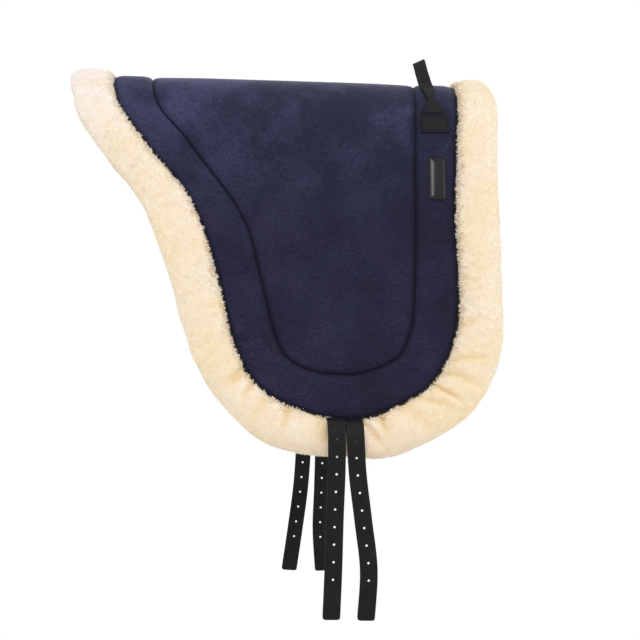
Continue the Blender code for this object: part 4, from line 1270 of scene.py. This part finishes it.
# Half of the loop above the crest: how far out and how high each point stands, and how far ahead of HANDLE_PLACE
# it lies on the near side and on the far side.
LOOP_POINTS = (
    (0.049, 0.0165, -0.0094, 0.0085),
    (0.040, 0.0255, -0.0106, 0.0052),
    (0.030, 0.0355, -0.0117, 0.0004),
    (0.019, 0.0455, -0.0121, -0.0046),
    (0.0085, 0.0531, -0.0120, -0.0088),
    (0.0, 0.0551, -0.0112, -0.0112),
)
LEAVE_AHEAD = (-0.0087, 0.0080)


def webbing_finish():
    """Nylon webbing: ribs along its length crossed by a fine weave, darker at its bound edges."""
    finish, tree, shader = new_finish("black_webbing", 0.75, 0.2)
    across, along, _ = node(tree, "ShaderNodeSeparateXYZ", {0: coords_of(tree, "UV")}).outputs
    ribs = waves(tree, across, 520)
    weave = maths(tree, "MULTIPLY_ADD", ribs, waves(tree, along, 900), ribs)
    cloth = between(tree, weave, (0.004, 0.004, 0.0055, 1), (0.018, 0.0165, 0.019, 1), -1.6, 1.6)
    cloth = between(tree, marked(tree, "bound"), cloth, (0.005, 0.005, 0.007, 1), 0.0, 1.0)
    tree.links.new(cloth, shader.inputs["Base Color"])
    raise_bump(tree, shader, weave, 0.5, 0.0004)
    return finish


def smooth_step(value, low, high):
    t = min(max((value - low) / (high - low), 0), 1)
    return t * t * (3 - 2 * t)


def handle_rows(side):
    """Rows from the patch's end to the middle of the loop: centre, width, thickness and how upright it stands."""
    rows = []
    flank = 0 if side > 0 else 1
    for down in np.arange(PATCH_END_PLACE, LEAVE_PLACE, -HANDLE_STEP):
        x = np.interp(down, (LEAVE_PLACE, PATCH_TOP_PLACE),
                      (HANDLE_PLACE + LEAVE_AHEAD[flank], PATCH_PLACE))
        folded = min(max((PATCH_TOP_PLACE - down) / (PATCH_TOP_PLACE - NECK_PLACE), 0), 1)
        thickness = PATCH_THICKNESS + (GRIP_THICKNESS - PATCH_THICKNESS) * smooth_step(folded, 0, 1)
        width = np.interp(down, (LEAVE_PLACE, NECK_PLACE, PATCH_TOP_PLACE, PATCH_TOP_PLACE + 0.002),
                          (GRIP_WIDTH, NECK_WIDTH, FLARE_WIDTH, PATCH_WIDTH))
        here = drape(x, side * down, BORDER_TOP + thickness / 2 + 0.0003)
        rows.append((Vector(here), width, thickness, 0.0))
    points = [np.array((abs(rows[k][0].y), rows[k][0].z, rows[k][0].x)) for k in (-4, -1)]
    points += [np.array((point[0], point[1], HANDLE_PLACE + point[2 + flank])) for point in LOOP_POINTS]
    beyond = LOOP_POINTS[-2]
    points.append(np.array((-beyond[0], beyond[1], HANDLE_PLACE + beyond[3 - flank])))
    for k in range(1, len(points) - 2):
        steps = max(int(np.linalg.norm(points[k + 1] - points[k]) / HANDLE_STEP), 1)
        for step in range(1, steps + 1):
            out, level, x = catmull_rom(*points[k - 1 : k + 3], step / steps)
            rows.append((Vector((x, -side * out, level)), GRIP_WIDTH, GRIP_THICKNESS,
                         smooth_step(level, 0.004, HANDLE_AXIS_LEVEL + 0.004)))
    return rows


def webbing_section(width, thickness):
    """Bound edges stand a little proud of the folded webbing between them."""
    half, up = width / 2, thickness / 2
    rim = 0.0022
    top = [(-half, 0), (-half + 0.0003, up * 0.8), (-half + 0.0010, up * 1.06), (-half + rim, up * 0.92)]
    top += [(share * (half - rim - 0.0006), up * 0.98) for share in (-0.9, -0.45, 0, 0.45, 0.9)]
    top += [(-across, height) for across, height in reversed(top[:4])]
    return top + [(across, -height) for across, height in reversed(top[1:-1])]


def make_handle():
    rows = handle_rows(1) + handle_rows(-1)[-2::-1]
    lean = Matrix.Rotation(-HANDLE_SKEW, 3, "Z") @ Matrix.Rotation(-HANDLE_LEAN, 3, "Y")
    across_up = lean @ Vector((1, 0, 0))
    centres = [row[0] for row in rows]
    points = []
    bound = []
    for k, (centre, width, thickness, standing) in enumerate(rows):
        run = (centres[min(k + 1, len(rows) - 1)] - centres[max(k - 1, 0)]).normalized()
        across = Vector((1, 0, -CREST_FALL_SHARE)).lerp(across_up, standing)
        across = (across - run * across.dot(run)).normalized()
        off = run.cross(across).normalized()
        if off.z < 0:
            off = -off
        section = webbing_section(width, thickness)
        points.append([centre + across * a + off * h for a, h in section])
        bound.append([1.0 if abs(a) > width / 2 - 0.0016 else 0.0 for a, h in section])
    handle = loft("webbing_handle", np.array(points), webbing, around=True)
    mark(handle, "bound", np.array(bound).ravel())
    close_ends(handle)
    handle.data.set_sharp_from_angle(angle=math.radians(50))
    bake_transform(handle)
    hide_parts("grab_handle", "handle_end_right", "handle_end_left")


def patch_rows(side, lines, pitch, run_down=False):
    """Stitch places along lines on a sewn patch, each line from one (sideways, down) to another."""
    spots, off, run = [], [], []
    for (x0, d0), (x1, d1) in lines:
        count = int(math.hypot(x1 - x0, d1 - d0) / pitch)
        for k in range(count):
            t = (k + 0.5) / count
            x, down = PATCH_PLACE + x0 + (x1 - x0) * t, d0 + (d1 - d0) * t
            dx, dd = (0, 0.001) if run_down else ((x1 - x0) * 0.01, (d1 - d0) * 0.01)
            level = BORDER_TOP + PATCH_THICKNESS + 0.0002
            low, high, ahead = drape(np.array((x, x, x + dx)), side * np.array((down, down, down + dd)),
                                     np.array((level, level + 0.001, level)))
            spots.append(low)
            off.append(unit(high - low))
            run.append(unit(ahead - low))
    return np.array(spots), np.array(off), np.array(run)


webbing = webbing_finish()
make_handle()
half = PATCH_WIDTH / 2 - BOX_INSET
top, end = PATCH_TOP_PLACE + BOX_TOP_INSET, PATCH_END_PLACE - BOX_INSET
corners = ((-half, top), (half, top), (-half, end), (half, end))
box = [(corners[a], corners[b]) for a, b in ((0, 1), (2, 3), (0, 2), (1, 3))]
bar = [((-half - 0.001, PATCH_TOP_PLACE + BAR_INSET), (half - 0.004, PATCH_TOP_PLACE + BAR_INSET))]
for flank, side in (("right", 1), ("left", -1)):
    sew(f"patch_stitches_{flank}", *patch_rows(side, box, BOX_PITCH), "pad", Stitch_Length=0.0023,
        Stitch_Rise=0.0004, Thread_Radius=0.0004, Seed=6, Thread_Material=thread)
    sew(f"bar_tack_{flank}", *patch_rows(side, bar, BAR_PITCH, True), "pad", Stitch_Length=0.0074,
        Stitch_Rise=0.0007, Thread_Radius=0.00055, Seed=9, Thread_Material=thread)

# Badge
# A small domed plate on the front border, glued on a thin backing. Its face is bare.
BADGE_CORNER = 0.0045
BADGE_RIM = 0.0016
BADGE_BACKING = 0.0016
BADGE_DOME_RISE = 0.00165
BADGE_DOME_SLOPE = 0.0105


def plastic_finish(name, dark, light, roughness, coat):
    finish, tree, shader = new_finish(name, roughness, 0.22)
    coords = coords_of(tree)
    tree.links.new(between(tree, blotches(tree, coords, 60, 3), dark, light), shader.inputs["Base Color"])
    shader.inputs["Coat Weight"].default_value = coat
    shader.inputs["Coat Roughness"].default_value = 0.06
    raise_bump(tree, shader, blotches(tree, coords, 700, 2), 0.05, 0.0002)
    return finish


def badge_frame():
    """Where the badge sits: its middle on the border, with ways forward, up the flank and out of the cloth."""
    level = BORDER_TOP + 0.0002
    centre = Vector(drape(BADGE_PLACE, BADGE_DROP, level))
    forward = (Vector(drape(BADGE_PLACE + 0.01, BADGE_DROP, level)) - centre).normalized()
    up = (Vector(drape(BADGE_PLACE, BADGE_DROP - 0.01, level)) - centre).normalized()
    off = forward.cross(up).normalized()
    return Matrix.Translation(centre) @ Matrix((forward, off.cross(forward), off)).transposed().to_4x4()


def rounded_outline(width, length, radius, steps=8):
    points = []
    for sx, sy, start in ((1, 1, 0), (-1, 1, 90), (-1, -1, 180), (1, -1, 270)):
        for k in range(steps + 1):
            turn = math.radians(start + 90 * k / steps)
            points.append((sx * (width / 2 - radius) + radius * math.cos(turn),
                           sy * (length / 2 - radius) + radius * math.sin(turn)))
    return np.array(points)


def badge_piece(name, profile, material):
    """A rounded plate built up in rings: each profile step is (inset, height)."""
    rings = []
    for inset, height in profile:
        radius = max(BADGE_CORNER - inset, 0.0004)
        line = rounded_outline(BADGE_WIDTH - 2 * inset, BADGE_LENGTH - 2 * inset, radius)
        rings.append([badge_place @ Vector((x, y, height)) for x, y in line])
    piece = loft(name, np.array(rings), material, around=True)
    close_ends(piece)
    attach(piece, "pad")
    return piece


badge_place = badge_frame()
backing_black = plastic_finish("badge_backing", (0.004, 0.004, 0.0045, 1), (0.008, 0.0075, 0.008, 1), 0.4, 0.05)
dome_black = plastic_finish("badge_gloss", (0.004, 0.0035, 0.0035, 1), (0.010, 0.008, 0.0075, 1), 0.2, 0.25)
backing = badge_piece("badge_backing", [
    (0, 0), (0, BADGE_BACKING * 0.7), (0.0004, BADGE_BACKING), (BADGE_RIM, BADGE_BACKING),
], backing_black)
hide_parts("badge_plate")
dome_steps = [
    (BADGE_RIM + BADGE_DOME_SLOPE * (1 - math.cos(turn)), BADGE_BACKING + BADGE_DOME_RISE * math.sin(turn))
    for turn in np.radians(np.linspace(0, 88, 10))
]
dome = badge_piece("badge_dome_gloss", dome_steps, dome_black)
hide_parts("badge_dome")
